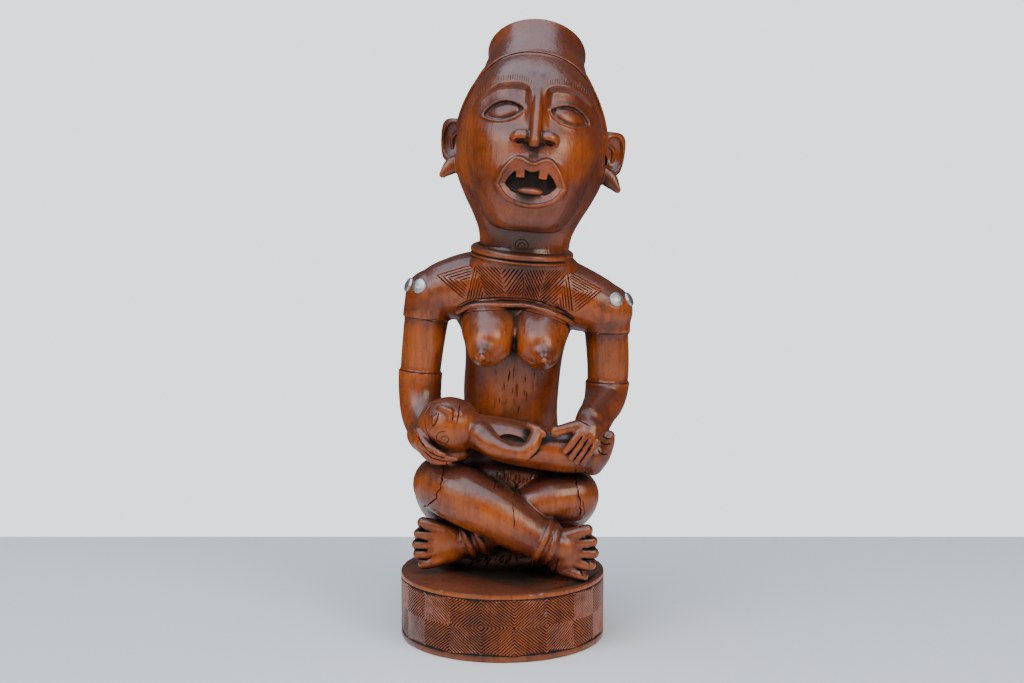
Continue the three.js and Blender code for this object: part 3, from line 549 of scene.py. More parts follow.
features = [
    limb(band),
    stack([(60.8, 0, -50, 2.8, 7.6, 6), (62, 0, -50, 3.8, 9.6, 6), (65, 0, -50, 4.2, 10.2, 6),
           (69, 0, -50, 3.7, 8.6, 6), (77, 0, -48, 3.4, 7, 6), (86, 0, -44, 3.3, 6.6, 6),
           (93, 0, -40, 3.6, 6.4, 6), (99, 0, -36, 4.4, 6.6, 6)], 2.2),
]
hollows = []
inner_forms = []
for side in (-1, 1):
    features += [limb(lid_line(side, UPPER_LID)), limb(lid_line(side, -LOWER_LID))]
    features.append(ball((side * 8.4, -52.2, 66.8), (6.1, 5.6, 4.4), (0, side * 12, 0)))
    hollows.append(ball((side * 9.2, -58, 63.7), (4.7, 6, 1.8), (0, side * 10, 0)))

    # An ear is a solid oval with a carved bowl, a dark hole and a ridge in it, over a wedge-shaped lobe.
    ear_turn = Matrix.Translation((side * 50, 0, 62.5)) @ Matrix.Rotation(side * math.radians(30), 4, "Z")
    shell = stack([(-13.5, 0, 2.5, 3, 1.5, 2), (-10.5, 0, 2.5, 7, 3.2, 3.4), (-4, 0, 2.5, 9, 4.2, 4),
                   (4, 0, 2.5, 9.6, 4.4, 4.2), (10, 0, 2.5, 9, 4.2, 4), (13, 0, 2.5, 6.8, 3, 3),
                   (14, 0, 2.5, 3.8, 1.6, 1.5)], 2.2)
    features.append(settle(shell, ear_turn))
    lobe = [(side * 44, -1, 51.5, 6), (side * 49.5, -2.5, 46.5, 5), (side * 54, -4, 41.5, 2.4)]
    features.append(limb(lobe, 0.6))
    hollows.append(settle(ball((-side * 0.6, -2, 0.4), (7.7, 6, 11.3)), ear_turn))
    hollows.append(settle(ball((-side * 4, 3, -3.4), (2.4, 3, 3.6)), ear_turn))
    ridge = [(-side * 4, 3.4, 6.8, 1), (side * 1.8, 3.3, 2.5, 1.2), (side * 1.4, 3.2, -4, 1)]
    inner_forms += [settle(part, ear_turn) for part in limb(ridge)]

UPPER_LIP = [(-19, 38.5), (-15, 47), (-8.6, 53.4), (0, 50.4), (8.6, 53.4), (15, 47), (19, 38.5)]
LOWER_LIP = [(19, 38.5), (12.5, 31.2), (0, 28), (-12.5, 31.2), (-19, 38.5)]
upper_lip = smooth_through(UPPER_LIP, 4)
lower_lip = smooth_through(LOWER_LIP, 4)
for line, radius in ((upper_lip, 1.3), (lower_lip, 1.5)):
    ridge = [(1.05 * x, MOUTH_MIDDLE + 1.05 * (z - MOUTH_MIDDLE)) for x, z in line]
    features.append(limb([(x, on_face(x, z) + 0.1, z, radius) for x, z in ridge]))

# The mouth's opening slants in from the lips to a straight-sided cavity.
rings = []
for across, up, deep in ((1, 1, -7), (1, 1, 0.2), (0.8, 0.63, 3.2), (0.77, 0.59, 9)):
    ring = [(across * x, MOUTH_MIDDLE + up * (z - MOUTH_MIDDLE)) for x, z in (*upper_lip, *lower_lip[1:-1])]
    rings.append([(x, on_face(x, z) + deep, z) for x, z in ring])
hollows.append(skin_over("mouth", rings))
inner_forms.append(ball((0, -52.6, 35.4), (8, 5, 2.7)))
for side in (-1, 1):
    bpy.ops.object.select_all(action="DESELECT")
    bpy.ops.mesh.primitive_cube_add(size=1, location=(side * 6.6, -50.3, 45.6), scale=(5.6, 6.4, 5.6))
    tooth = bpy.context.object
    bpy.ops.object.transform_apply()
    finish_with(tooth, "BEVEL", width=0.7, segments=2)
    inner_forms.append(tooth)


def turn_outwards(obj):
    """Turns every face of a closed form outwards, as a cutter needs."""
    mesh = bmesh.new()
    mesh.from_mesh(obj.data)
    bmesh.ops.recalc_face_normals(mesh, faces=mesh.faces)
    mesh.to_mesh(obj.data)
    mesh.free()


def cut_out(obj, cutter):
    finish_with(obj, "BOOLEAN", operation="DIFFERENCE", solver="MANIFOLD", object=cutter)
    bpy.data.objects.remove(cutter)


def add_on(obj, other):
    finish_with(obj, "BOOLEAN", operation="UNION", solver="MANIFOLD", object=other)
    bpy.data.objects.remove(other)


head = weld("head", [crowned, features], HEAD_GRAIN, 1)
for hollow in hollows:
    turn_outwards(hollow)
    cut_out(head, hollow)
add_on(head, weld("inner_forms", inner_forms, HEAD_GRAIN, 1))
head = weld("head", [head], HEAD_GRAIN, 1)


# All of it is one block of wood, so its forms are thinned out and become one skin. First the knife marks
# its finer carving into them, as V cuts that run out at both ends.
BODY_TRIANGLES = 75500
HEAD_TRIANGLES = 46000


def thin_out(obj, count):
    share = count / sum(len(p.vertices) - 2 for p in obj.data.polygons)
    if share < 1:
        finish_with(obj, "DECIMATE", ratio=share)


def from_front(surface, stroke, grain=2.5):
    """The places on a surface under a stroke of points (x, z), seen from the front."""
    path = []
    for (x0, z0), (x1, z1) in zip(stroke, stroke[1:]):
        count = max(1, round(math.hypot(x1 - x0, z1 - z0) / grain))
        path += [(x0 + (x1 - x0) * i / count, z0 + (z1 - z0) * i / count) for i in range(count)]
    path.append(stroke[-1])
    hits = [surface.ray_cast(Vector((x, -150, z)), Vector((0, 1, 0)))[0] for x, z in path]
    return [hit for hit in hits if hit]


def knife_cuts(obj, surface, paths, width, depth, ragged=0):
    """Cuts a V along each path on a surface."""
    points = []
    faces = []
    for path in paths:
        first = len(points)
        for i, place in enumerate(path):
            place, normal = surface.find_nearest(place)[:2]
            along = (path[min(i + 1, len(path) - 1)] - path[max(i - 1, 0)]).normalized()
            across = along.cross(normal).normalized()
            deep = depth * (0.3 if i in (0, len(path) - 1) else 1)
            spread = width * (1.1 + waver(9 * i, 5 * len(path), 1, ragged))
            points += [place - normal * deep, place + normal * 1.2 * depth + across * spread,
                       place + normal * 1.2 * depth - across * spread]
        for low in range(first, len(points) - 3, 3):
            for s in range(3):
                a, b = low + s, low + (s + 1) % 3
                faces += [(a, b, b + 3), (a, b + 3, a + 3)]
        end = len(points) - 3
        faces += [(first + 2, first + 1, first), (end, end + 1, end + 2)]
    blade = new_piece("blade", points, faces)
    turn_outwards(blade)
    cut_out(obj, blade)


def knife_strokes(obj, surface, strokes, width, depth, ragged=0, grain=2.5):
    """Cuts along strokes of points (x, z), as they are seen from the front."""
    paths = [from_front(surface, stroke, grain) for stroke in strokes]
    knife_cuts(obj, surface, paths, width, depth, ragged)


def knife_in_turns(obj, surface, strokes, turns, width, depth):
    """Cuts strokes that may touch their neighbours, a share of them at a time."""
    for turn in range(turns):
        knife_strokes(obj, surface, strokes[turn::turns], width, depth)


thin_out(body, BODY_TRIANGLES)
thin_out(head, HEAD_TRIANGLES)

# Short upright ticks mark the brows, and a line runs along both sides of the headband.
TICK_PITCH = 1.35
surface = surface_of(head)
ticks = []
for side in (-1, 1):
    for along in np.arange(5, 39, TICK_PITCH):
        z = np.interp(along, [p[0] for p in BROW], [p[1] for p in BROW]) + 0.8
        lean = 0.3 * (along - 12) / 10
        top = z + 3.9 * (1 - 0.4 * abs(along - 17) / 22)
        ticks.append([(side * along, z), (side * (along + lean), top)])
knife_strokes(head, surface, ticks, width=0.5, depth=0.45)
for shift in (-2.1, 2.1):
    line = []
    for x, y, z, _ in smooth_through(band, 2)[2:-2]:
        away = Vector((x, 0, z - 62)).normalized()
        line.append(surface.find_nearest(Vector((x, y + shift, z)) + away * (0.2 if shift < 0 else 0))[0])
    knife_cuts(head, surface, [line], width=0.8, depth=0.7)
settle(head, Matrix.Translation(NECK) @ Matrix.Rotation(math.radians(HEAD_LEAN), 4, "Y"))

# The chest carries a band of triangles over a raised cord. Each triangle is filled with V cuts along two
# of its sides, nested towards the middle of the third, which lies between its last two corners.
CUT_PITCH = 1.62
CORD_RADIUS = 1.9
CHEST_CORD = [(-27.5, 160.4), (-18.5, 164.6), (-3, 165.6), (13.4, 165.2), (23.8, 163), (34.4, 158.9),
              (43.4, 153.3)]
surface = surface_of(body)
cord = [(*from_front(surface, [(x, z), (x, z)])[0], CORD_RADIUS) for x, z in CHEST_CORD]
add_on(body, weld("cord", [limb(cord)], 0.6, 1))

TRIANGLES = [
    ((-17, 190.5), (-22.2, 168.6), (2.2, 171)), ((14, 187), (2.2, 171), (22.6, 168.6)),
    ((40.6, 186.5), (22.6, 168.6), (43.9, 161)), ((2.2, 171), (-16.5, 190), (14, 187.5)),
    ((22.6, 168.6), (14, 187.5), (40, 187)), ((-41.6, 183.8), (-17.5, 191), (-23.2, 168)),
    ((62.6, 174.6), (41.2, 186.5), (44.8, 160)),
]
for arm in (1, 2):
    strokes = []
    for triangle in TRIANGLES:
        corners = [np.array(p) for p in triangle]
        middle = (corners[1] + corners[2]) / 2
        side = (corners[1] - corners[0]) / np.linalg.norm(corners[1] - corners[0])
        reach = middle - corners[0]
        count = round(abs(reach[0] * side[1] - reach[1] * side[0]) / CUT_PITCH)
        for i in range(count):
            share = 1 - (i + 0.45) / count
            strokes.append([tuple(middle + (corners[c] - middle) * share) for c in (0, arm)])
    knife_strokes(body, surface, strokes, width=0.95, depth=0.75)
lines = [[(x, z + rise) for x, z in CHEST_CORD] for rise in (-2.6, 2.7, 4.3)]
knife_strokes(body, surface, lines, width=0.9, depth=0.75)

# Deeper cuts part the toes and the fingers, and a line rings both ends of each arm's band. Between their
# tips the toes are also notched.
notches = []
slots = []
for stations, tips in ((LEFT_FOOT, LEFT_TOE_TIPS), (RIGHT_FOOT, RIGHT_TOE_TIPS)):
    outward = math.copysign(1, tips[0][0])
    for (x0, z0), (x1, z1) in zip(tips, tips[1:]):
        x, z = (x0 + x1) / 2, (z0 + z1) / 2
        root_z = stations[-1][2] + (z - stations[-1][2]) * 0.84
        slots.append([(x - outward * 9.5, root_z), (x - outward * 2.5, z)])
        corners = [(x - outward * 8, root_z), (x + outward * 2, z + 1.4), (x + outward * 2, z - 1.4)]
        ends = [[(a, stations[-1][1] + y, b) for a, b in corners] for y in (-20, -3)]
        notches.append(skin_over("notch", ends))
pick(*notches)
bpy.ops.object.join()
notch = bpy.context.object
turn_outwards(notch)
knife_strokes(body, surface, slots, width=1.5, depth=2.4)
cut_out(body, notch)
slots = []
for i in range(3):
    root, tip = ([(a + b) / 2 for a, b in zip(row[i], row[i + 1])] for row in (FINGER_ROOTS, FINGER_TIPS))
    slots.append([(root[0] - 0.4, root[1] - 0.6), (tip[0] - 0.6, tip[1] - 0.8)])
slots.append([(-50.5, 88), (-45, 81), (-40, 78), (-34, 75.8)])
slots.append([(-47.5, 80.5), (-42, 76), (-36, 74.2), (-31, 73.6)])
knife_strokes(body, surface, slots, width=1.2, depth=1.9)
rings = []
for axis_x, low, high, tilt in ARM_BANDS:
    for height in (low + 0.4, high - 0.4):
        ring = []
        for turn in range(0, 350, 14):
            look = Vector((math.cos(math.radians(turn)), math.sin(math.radians(turn)), 0))
            start = Vector((axis_x, ARM_AXIS_Y, height)) + look * 17.5
            start.z -= tilt * 13 * look.x
            ring.append(surface.ray_cast(start, -look)[0])
        rings.append([place for place in ring if place])
knife_cuts(body, surface, rings, width=1.1, depth=0.9)

# The child's hair, eye, lips and ear are drawn in fine cuts, and so are the outline of its arm, its toes,
# the mother's thumbnail and the crease of her wrist. A shallow hollow parts the child's arm from its side.
FINE_MARKS = [
    [(-35.9, 108), (-40, 107.6), (-43.6, 105.8), (-46.4, 100.6), (-45.8, 93.8), (-43.3, 86.7),
     (-40.3, 82.4)],
    [(-38.8, 102.9), (-41, 100.2), (-41.9, 97.4), (-41.3, 94.7)],
    [(-37.9, 102.7), (-38.5, 99.6), (-39.5, 97), (-41.3, 94.7)],
    [(-25.4, 107), (-25.8, 102.5), (-26.7, 97.6)],
    [(-29.6, 98.8), (-28.9, 101.8)],
    [(-11, 79.5), (-3, 75.8), (6, 74.2), (14, 73.8), (18.5, 76.5), (22.6, 83), (25.4, 88.2)],
    [(29.6, 94.2), (28.6, 92.6), (29.2, 90.6), (31, 89.6)],
    [(42.4, 99.8), (47, 98), (52.4, 95.4)],
    [(58.6, 84.6), (62, 83), (65.6, 83.4)],
    [(60.6, 88), (63, 86.4), (65.8, 86.6)],
    [(57.6, 79.6), (60.4, 77.2), (63.8, 76.8)],
]
CHILD_EAR = [(-33.6, 92), (-37.4, 91.4), (-39.2, 88), (-37.6, 84.6), (-33.6, 84.4), (-31.8, 87),
             (-33.2, 89.2), (-35.8, 88.6), (-35.8, 86.8)]
knife_strokes(body, surface, [smooth_through(mark, 4) for mark in FINE_MARKS], width=0.8, depth=0.9)
knife_strokes(body, surface, [smooth_through(CHILD_EAR, 4)], width=0.5, depth=0.4, grain=1)
cut_out(body, ball((6.4, -34, 86.4), (8.8, 3.4, 4), (0, 12, 0)))

# Age shows in cracks through the knees, the shin and the chest, and the belly, the lap and the wood by
# the feet keep the marks of the carver's gouge. Each crack is (width, depth, its course).
CRACKS = [
    (1, 1.7, [(-33, 73), (-35.4, 68.1), (-36.2, 63), (-37.2, 58.2), (-40.1, 50.8), (-44, 46),
              (-48.6, 41.6)]),
    (0.9, 1.6, [(43.6, 68), (44.4, 62), (45.8, 56), (46.3, 50.2), (48.1, 44.6), (47, 34)]),
    (0.6, 1, [(48.6, 47), (50, 42), (49.4, 37)]),
    (0.6, 0.7, [(7, 49.4), (7.2, 42), (7, 34.9)]),
    (0.8, 0.9, [(6.6, 58.6), (9, 54.5), (11.4, 50.6)]),
    (0.8, 0.9, [(11.3, 59), (9, 55), (7.2, 51.4)]),
    (0.5, 0.5, [(12.6, 170), (12.9, 176), (12.5, 183)]),
]
CRACK_WANDER = 1.5
CRACK_RAGGED = 1.2
BELLY_GOUGES = 30
LAP_GOUGES = 12
FOOT_GOUGES = 44


def wander(stroke, seed):
    return [(x + waver(70 * x, seed, z, CRACK_WANDER), z + waver(seed, 70 * z, x, CRACK_WANDER / 2))
            for x, z in smooth_through(stroke, 5)]


for i, (width, depth, stroke) in enumerate(CRACKS):
    knife_strokes(body, surface, [wander(stroke, 4 * i)], width, depth, CRACK_RAGGED)
gouges = []
for i in range(BELLY_GOUGES):
    x = -15 + 43 * (0.5 + waver(i * 31, 5, 1, 0.8, 2))
    z = 100 + 28 * (0.5 + waver(i * 17, 9, 4, 0.9, 6))
    gouges.append([(x, z), (x + waver(i * 7, 3, 3, 1.4), z + 4 + waver(i * 13, 1, 2, 3))])
for i in range(LAP_GOUGES):
    x = -3 + 2.4 * i
    gouges.append([(x, 63 + waver(i * 9, 2, 2, 3)), (x - 1.5, 57 + waver(i * 5, 4, 2, 3))])
    gouges.append([(26 + 0.6 * i, 8 + waver(i * 9, 5, 2, 9)), (27.5 + 0.6 * i, 12 + waver(i * 5, 7, 2, 9))])
knife_in_turns(body, surface, gouges, 3, width=1.1, depth=0.55)
gouges = []
for i in range(FOOT_GOUGES):
    x = -24 + 56 * (i / FOOT_GOUGES) + waver(i * 23, 2, 5, 3)
    z = 4.5 + waver(i * 19, 8, 3, 9)
    gouges.append([(x, z), (x + 1.5 + waver(i * 11, 6, 1, 5), z + 3.5 + waver(i * 3, 1, 9, 3))])
knife_in_turns(body, surface, gouges, 4, width=1.7, depth=1)


# The collar is two cords round the foot of the neck, a thick one over a thin one, left standing in the
# wood. With it, head, body and drum become the one carving, and two small arcs are cut on the neck.
collar = settle(
    lathe([(5, -4.8), (30.6, -4.8), (32, -4.2), (32.4, -3.5), (32, -2.8), (30.8, -2.3), (31.7, -1.6),
           (32.2, -0.4), (32, 0.9), (31.1, 1.9), (29.7, 2.6), (28, 2.9), (5, 2.9)]),
    Matrix.Translation((12.3, 12, 197.6)) @ Matrix.Rotation(math.radians(4.8), 4, "Y")
    @ Matrix.Rotation(math.radians(5.5), 4, "X"))
figure = body
figure.name = "mother_and_child_carving"
for part in (head, collar):
    add_on(figure, part)
surface = surface_of(figure)
for radius in (2, 4):
    mark = [(11.8 + radius * math.cos(a), 201.8 + radius * math.sin(a)) for a in np.linspace(-0.4, 3.6, 12)]
    knife_strokes(figure, surface, [mark], width=0.5, depth=0.35, grain=1)
settle(figure, Matrix.Translation((0, 0, DRUM_HEIGHT)))
add_on(figure, drum)


# Where the wood stands proud it is made bright, partly as wear from wax and handling and partly as painted
# highlight and warm light. Dirt and painted shade darken its grooves, and painted shade its broad hollows
# and what faces up. How much of each a point has is kept on the mesh.
GROOVE_REACH = 8
HOLLOW_REACH = 45
SHELTER_LOOKS = 36
TURN_PER_LOOK = 2.4
PROUD_RUBS = 12
# The drum's top, under the figure, is darkened as painted shade, and its foot is made darker.
DRUM_TOP_GROOVE_SHARE = 0.1
DRUM_FOOT_GROOVE_SHARE = 0.22
DRUM_TOP_HOLLOW_SHARE = 0.4
ARM_BAND_WEAR_AND_LIGHT = 0.25
CREASE_ANGLE = 38


def shelter(obj):
    """How closed in each point is by what lies near it, and by what lies further off."""
    surface = surface_of(obj)
    looks = []
    for i in range(SHELTER_LOOKS):
        z = 1 - 2 * (i + 0.5) / SHELTER_LOOKS
        r = math.sqrt(1 - z * z)
        looks.append(Vector((r * math.cos(TURN_PER_LOOK * i), r * math.sin(TURN_PER_LOOK * i), z)))
    values = []
    for vert in obj.data.vertices:
        start = vert.co + vert.normal * 0.05
        seen = near = far = 0
        for look in looks:
            facing = vert.normal.dot(look)
            if facing > 0.15:
                seen += facing
                distance = surface.ray_cast(start, look, HOLLOW_REACH)[3]
                if distance is not None:
                    near += facing * (1 - 0.5 * distance / GROOVE_REACH) * (distance < GROOVE_REACH)
                    far += facing * (1 - distance / HOLLOW_REACH)
        values.append((near / seen, far / seen) if seen else (0, 0))
    return np.array(values).T


def proud(obj):
    """How far each point stands out of a copy that is rubbed smooth."""
    rubbed = obj.copy()
    rubbed.data = obj.data.copy()
    bpy.context.scene.collection.objects.link(rubbed)
    finish_with(rubbed, "SMOOTH", factor=0.5, iterations=PROUD_RUBS)
    out = ((points_of(obj) - points_of(rubbed)) * normals_of(obj)).sum(axis=1)
    bpy.data.objects.remove(rubbed)
    return out


def spots(places, table):
    """The sum of soft spots (x, y, z, reach, strength), given above the drum's top."""
    total = np.zeros(len(places))
    for x, y, z, reach, strength in table:
        away = np.linalg.norm(places - (x, y, z + DRUM_HEIGHT), axis=1)
        total += strength * ease(0, 1, 1.3 - away / reach)
    return total


def keep(obj, name, values):
    obj.data.attributes.new(name, "FLOAT", "POINT").data.foreach_set("value", values.astype(np.float32))


# Spots of stain and painted shade: dirt by the feet and in the lap, painted shade under the nose, in the
# mouth, under the collar and breasts and in the child's arm hollow.
STAIN_AND_SHADE_SPOTS = [
    (7, -31, 86, 9, 0.1), (27, -31, 91, 7, 0.3), (10, -4, 97, 15, 0.25), (-24, -3, 118, 9, 0.3),
    (36, -3, 116, 9, 0.3), (7, -10, 126, 9, 0.2), (4, -8, 8, 24, 0.2), (-50, -18, 20, 9, 0.2),
    (54, -33, 17, 9, 0.2), (-2, -26, 66, 13, 0.25), (12, -18, 192, 16, 0.15), (-45, -12, 92, 9, 0.25),
    (62, -20, 84, 9, 0.25), (-30, 10, 166, 9, 0.15), (12, -46, 228, 9, 0.2), (1, -38, 281, 11, 0.12),
    (40, -38, 277, 11, 0.12), (19, -45, 261, 9, 0.22), (17, -40, 239, 14, 0.15),
]
# Spots of painted shade: on the neck and under the chin, on the shoulders, the elbows and the child.
HOLLOW_SHADE_SPOTS = [
    (13, -12, 206, 30, 0.36), (16, -40, 214, 18, 0.4), (-44, 0, 160, 17, 0.3), (64, 0, 150, 17, 0.3),
    (-50, 0, 108, 14, 0.25), (60, -8, 100, 14, 0.25), (-30, -19, 104, 12, 0.2), (0, -20, 90, 16, 0.25),
]
# Spots made brighter, as wear and as painted highlight and warm light on the belly, knees, shins, feet and
# child.
WEAR_AND_LIGHT_SPOTS = [
    (7, -5, 110, 18, 0.6), (50, 0, 166, 9, 0.3), (-38, -22, 19, 12, 0.5), (42, -38, 18, 10, 0.3),
    (2, -42, 42, 14, 0.3), (-40, -20, 60, 10, 0.3), (46, -20, 50, 9, 0.3), (-30, -36, 92, 8, 0.2),
    (18, -34, 80, 10, 0.3), (40, -30, 78, 10, 0.3),
]
places = points_of(figure)
radius = np.linalg.norm(places[:, :2], axis=1)
on_band = (places[:, 2] > BAND_LOW - 1) & (places[:, 2] < BAND_HIGH + 1) & (radius > DRUM_RADIUS - 2)
on_top = (np.abs(places[:, 2] - DRUM_HEIGHT) < 0.5) & (radius < DRUM_RADIUS - 1.5)
on_foot = places[:, 2] < BAND_LOW
on_arm = np.zeros(len(places))
for axis_x, low, high, tilt in ARM_BANDS:
    out = places[:, :2] - (axis_x, ARM_AXIS_Y)
    height = places[:, 2] - DRUM_HEIGHT + tilt * out[:, 0]
    in_band = ease(low, low + 2, height) * (1 - ease(high - 2, high, height))
    on_arm += in_band * (np.linalg.norm(out, axis=1) < 16)
# Ray-cast shelter: near shelter becomes dirt and painted shade in grooves, far shelter painted shade in
# broad hollows.
near, far = shelter(figure)
# Dirt and painted shade: near shelter, extra on the drum's top and foot, and the stain and shade spots.
keep(figure, "groove_dirt_and_shade", near + DRUM_TOP_GROOVE_SHARE * on_top + DRUM_FOOT_GROOVE_SHARE * on_foot + spots(places, STAIN_AND_SHADE_SPOTS))
# Painted shade: far shelter, the drum's top under the figure, and the shade spots.
keep(figure, "hollow", far + DRUM_TOP_HOLLOW_SHARE * on_top + spots(places, HOLLOW_SHADE_SPOTS))
# Standing out of a rubbed copy, the arm bands and the bright spots: wear, and painted highlight and warm
# light.
keep(figure, "proud", proud(figure) + ARM_BAND_WEAR_AND_LIGHT * on_arm + spots(places, WEAR_AND_LIGHT_SPOTS))
# What faces up gets painted shade.
keep(figure, "upward", ease(0.05, 0.85, normals_of(figure)[:, 2]))
keep(figure, "drum_cut", np.where(on_band, np.clip((DRUM_RADIUS - radius) / LINE_DEPTH, 0, 1.3), 0))
MILLIMETRE = 0.001
settle(figure, Matrix.Scale(MILLIMETRE, 4))
pick(figure)
bpy.ops.object.shade_smooth_by_angle(angle=math.radians(CREASE_ANGLE))


def add_node(tree, kind, sources, **settings):
    node = tree.nodes.new("ShaderNode" + kind)
    for name, value in settings.items():
        setattr(node, name, value)
    for socket, source in sources.items():
        if isinstance(source, bpy.types.NodeSocket):
            tree.links.new(source, node.inputs[socket])
        else:
            node.inputs[socket].default_value = source
    return node


def cloudy_group():
    """The cloudy pattern that the wood and the tacks both draw their patches, streaks and specks from."""
    group = bpy.data.node_groups.new("cloudy_pattern", "ShaderNodeTree")
    for name, kind in (("Place", "Vector"), ("Stretch", "Vector"), ("Scale", "Float"), ("Detail", "Float")):
        group.interface.new_socket(name, in_out="INPUT", socket_type="NodeSocket" + kind)
    group.interface.new_socket("Share", in_out="OUTPUT", socket_type="NodeSocketFloat")
    given = group.nodes.new("NodeGroupInput").outputs
    mapping = add_node(group, "Mapping", {"Vector": given["Place"], "Scale": given["Stretch"]})
    clouds = add_node(group, "TexNoise", {"Vector": mapping.outputs[0], "Scale": given["Scale"],
                                          "Detail": given["Detail"], "Roughness": 0.55})
    group.links.new(clouds.outputs["Fac"], group.nodes.new("NodeGroupOutput").inputs["Share"])
    return group


cloudy = cloudy_group()


def cloudy_pattern(tree, scale, detail, stretch=(1, 1, 1)):
    coords = tree.nodes.get("Texture Coordinate") or tree.nodes.new("ShaderNodeTexCoord")
    return add_node(tree, "Group", {"Place": coords.outputs["Object"], "Stretch": stretch, "Scale": scale,
                                    "Detail": detail}, node_tree=cloudy).outputs["Share"]


def spread(tree, value, low, high, to_low=0, to_high=1):
    return add_node(tree, "MapRange", {"Value": value, "From Min": low, "From Max": high, "To Min": to_low,
                                       "To Max": to_high}, interpolation_type="SMOOTHSTEP").outputs[0]


def sum_of(tree, first, second):
    return add_node(tree, "Math", {0: first, 1: second}, operation="ADD", use_clamp=True).outputs[0]


def tint(tree, share, under, over):
    mix = add_node(tree, "Mix", {"Factor": share, "A": under, "B": over}, data_type="RGBA")
    return mix.outputs["Result"]


def kept(tree, name):
    return add_node(tree, "Attribute", {}, attribute_name=name).outputs["Fac"]


# The wood is a red-brown hardwood that shows darker and lighter patches, streaks along the grain and small
# pores. Its clear wax shines less where dirt and painted shade darken it.
DARK_WOOD = (0.11, 0.018, 0.004, 1)
RED_WOOD = (0.3, 0.056, 0.005, 1)
WORN_AND_LIT_WOOD = (0.5, 0.115, 0.008, 1)
HOLLOW_SHADE = (0.035, 0.009, 0.003, 1)
UPWARD_SHADE = (0.06, 0.02, 0.014, 1)
STREAK = (0.06, 0.01, 0.003, 1)
PORE = (0.012, 0.005, 0.003, 1)
DIRT_AND_SHADE = (0.01, 0.0045, 0.002, 1)

wood = bpy.data.materials.new("waxed_wood")
wood.use_nodes = True
tree = wood.node_tree
shader = tree.nodes["Principled BSDF"]
patches = cloudy_pattern(tree, 26, 4)
streaks = cloudy_pattern(tree, 380, 3, (1, 1, 0.06))
pores = cloudy_pattern(tree, 900, 2, (1, 1, 0.35))
clouds = cloudy_pattern(tree, 85, 5)

# Dirt and painted shade: grooves, the drum's cut lines and the stain and shade spots are darkened, with
# random clouds of dirt.
dirt_and_shade = sum_of(tree, spread(tree, kept(tree, "groove_dirt_and_shade"), 0.12, 0.48),
              spread(tree, kept(tree, "drum_cut"), 0.15, 0.75))
dirt_and_shade = sum_of(tree, dirt_and_shade, spread(tree, clouds, 0.54, 0.78, 0, 0.5))
colour = tint(tree, spread(tree, patches, 0.34, 0.64), DARK_WOOD, RED_WOOD)
# Wear with painted highlight and warm light, where the wood stands proud and on the bright spots.
colour = tint(tree, spread(tree, kept(tree, "proud"), 0.05, 0.45, 0, 0.35), colour, WORN_AND_LIT_WOOD)
# Painted shade in broad hollows, on the drum's top and on the shade spots.
colour = tint(tree, spread(tree, kept(tree, "hollow"), 0.18, 0.65, 0, 0.8), colour, HOLLOW_SHADE)
# Painted shade on what faces up, purple-brown so that the top lamp's sheen reads grey.
colour = tint(tree, spread(tree, kept(tree, "upward"), 0, 0.9, 0, 0.8), colour, UPWARD_SHADE)
colour = tint(tree, spread(tree, streaks, 0.4, 0.72, 0, 0.4), colour, STREAK)
colour = tint(tree, spread(tree, pores, 0.63, 0.72, 0, 0.75), colour, PORE)
colour = tint(tree, dirt_and_shade, colour, DIRT_AND_SHADE)
tree.links.new(colour, shader.inputs["Base Color"])
dull = sum_of(tree, spread(tree, clouds, 0.3, 0.7, 0.26, 0.4), spread(tree, dirt_and_shade, 0, 1, 0, 0.3))
tree.links.new(dull, shader.inputs["Roughness"])
shader.inputs["Specular IOR Level"].default_value = 0.4
shader.inputs["Coat Roughness"].default_value = 0.24
tree.links.new(spread(tree, dirt_and_shade, 0, 0.8, 0.32, 0), shader.inputs["Coat Weight"])
relief = sum_of(tree, spread(tree, streaks, 0.3, 0.7, 0, 0.4), spread(tree, clouds, 0.3, 0.7, 0, 0.6))
bump = add_node(tree, "Bump", {"Height": relief, "Strength": 0.4, "Distance": 0.0006})
tree.links.new(bump.outputs[0], shader.inputs["Normal"])
figure.data.materials.clear()
figure.data.materials.append(wood)
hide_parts("mother_and_child")
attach(figure, "root")


# A tack is a thin domed head of plated steel on a short shank that is pushed into the shoulder. Its
# plating is scuffed and dull, and spotted with tarnish.
PLATING = (0.46, 0.45, 0.44, 1)
TARNISH = (0.26, 0.22, 0.19, 1)
DOME_ANGLE = 50

metal = bpy.data.materials.new("tack_metal")
metal.use_nodes = True
tree = metal.node_tree
shader = tree.nodes["Principled BSDF"]
tarnish = cloudy_pattern(tree, 170, 3)
scuffs = cloudy_pattern(tree, 2200, 2)
colour = tint(tree, spread(tree, tarnish, 0.45, 0.8), PLATING, TARNISH)
tree.links.new(colour, shader.inputs["Base Color"])
shader.inputs["Metallic"].default_value = 1
tree.links.new(spread(tree, tarnish, 0.35, 0.7, 0.4, 0.5), shader.inputs["Roughness"])
bump = add_node(tree, "Bump", {"Height": scuffs, "Strength": 0.1, "Distance": 0.00003})
tree.links.new(bump.outputs[0], shader.inputs["Normal"])
for name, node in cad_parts.items():
    if name.startswith("shoulder_tack"):
        node.data.materials.clear()
        node.data.materials.append(metal)
        pick(node)
        bpy.ops.object.shade_smooth_by_angle(angle=math.radians(DOME_ANGLE))


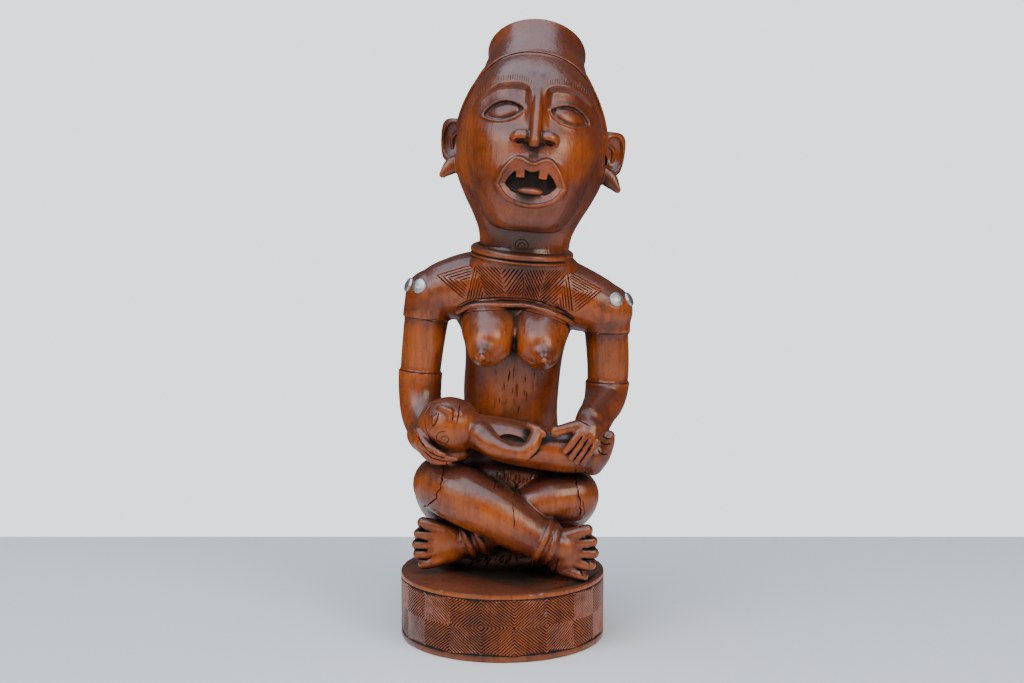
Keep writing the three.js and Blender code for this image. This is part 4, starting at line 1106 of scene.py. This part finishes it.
# The floor is a plain pale sheet. It fills the frame's width and ends behind the figure, against the
# bright wall of light.
FLOOR_WIDTH = 2.4
FLOOR_DEPTH_SHARE = 0.604
FLOOR_MIDDLE = (0, -0.475, 0)
PALE_PAINT = (0.7, 0.7, 0.71, 1)
bpy.ops.object.select_all(action="DESELECT")
bpy.ops.mesh.primitive_plane_add(size=FLOOR_WIDTH)
floor = settle(bpy.context.object,
               Matrix.Translation(FLOOR_MIDDLE) @ Matrix.Diagonal((1, FLOOR_DEPTH_SHARE, 1, 1)))
floor.name = "floor"
paint = bpy.data.materials.new("pale_floor")
paint.use_nodes = True
paint.node_tree.nodes["Principled BSDF"].inputs["Base Color"].default_value = PALE_PAINT
paint.node_tree.nodes["Principled BSDF"].inputs["Roughness"].default_value = 0.9
floor.data.materials.append(paint)

# The light all round is soft and cool. The lens sees more of it, as a plain bright wall, than the wood
# does.
LIGHT_ON_WOOD = 0.1
LIGHT_ON_LENS = 1.9
COOL_WHITE = (0.94, 0.97, 1, 1)
world = bpy.data.worlds.new("daylight")
world.use_nodes = True
path = world.node_tree.nodes.new("ShaderNodeLightPath")
light = world.node_tree.nodes.new("ShaderNodeMapRange")
light.inputs["To Min"].default_value = LIGHT_ON_WOOD
light.inputs["To Max"].default_value = LIGHT_ON_LENS
world.node_tree.links.new(path.outputs["Is Camera Ray"], light.inputs["Value"])
world.node_tree.links.new(light.outputs[0], world.node_tree.nodes["Background"].inputs["Strength"])
world.node_tree.nodes["Background"].inputs["Color"].default_value = COOL_WHITE
bpy.context.scene.world = world

# A broad cool lamp hangs overhead, and a small warm one stands at each side in front. Each lamp is
# (place, size, power, colour) and is aimed at the figure's middle.
LAMPS = [
    ((-0.2, -0.45, 1.5), 2, 48, (0.7, 0.84, 1)),
    ((0.9, -1, 0.95), 0.7, 13, (1, 0.86, 0.68)),
    ((-0.9, -1, 0.9), 0.9, 8, (1, 0.92, 0.82)),
]
LAMP_AIM = (0, 0, 0.2)
for place, size, power, glow in LAMPS:
    bpy.ops.object.light_add(type="AREA", location=place)
    lamp = bpy.context.object
    lamp.data.size = size
    lamp.data.energy = power
    lamp.data.color = glow
    lamp.rotation_euler = (Vector(LAMP_AIM) - Vector(place)).to_track_quat("-Z", "Y").to_euler()

# The camera stands in front at the photograph's angle, looking a little down.
CAMERA_PLACE = (0.006, -0.874, 0.2718)
CAMERA_DOWN = 5.78
bpy.ops.object.camera_add(location=CAMERA_PLACE, rotation=(math.radians(90 - CAMERA_DOWN), 0, 0))
camera = bpy.context.object
camera.data.lens = 50
camera.data.sensor_width = 36
bpy.context.scene.camera = camera
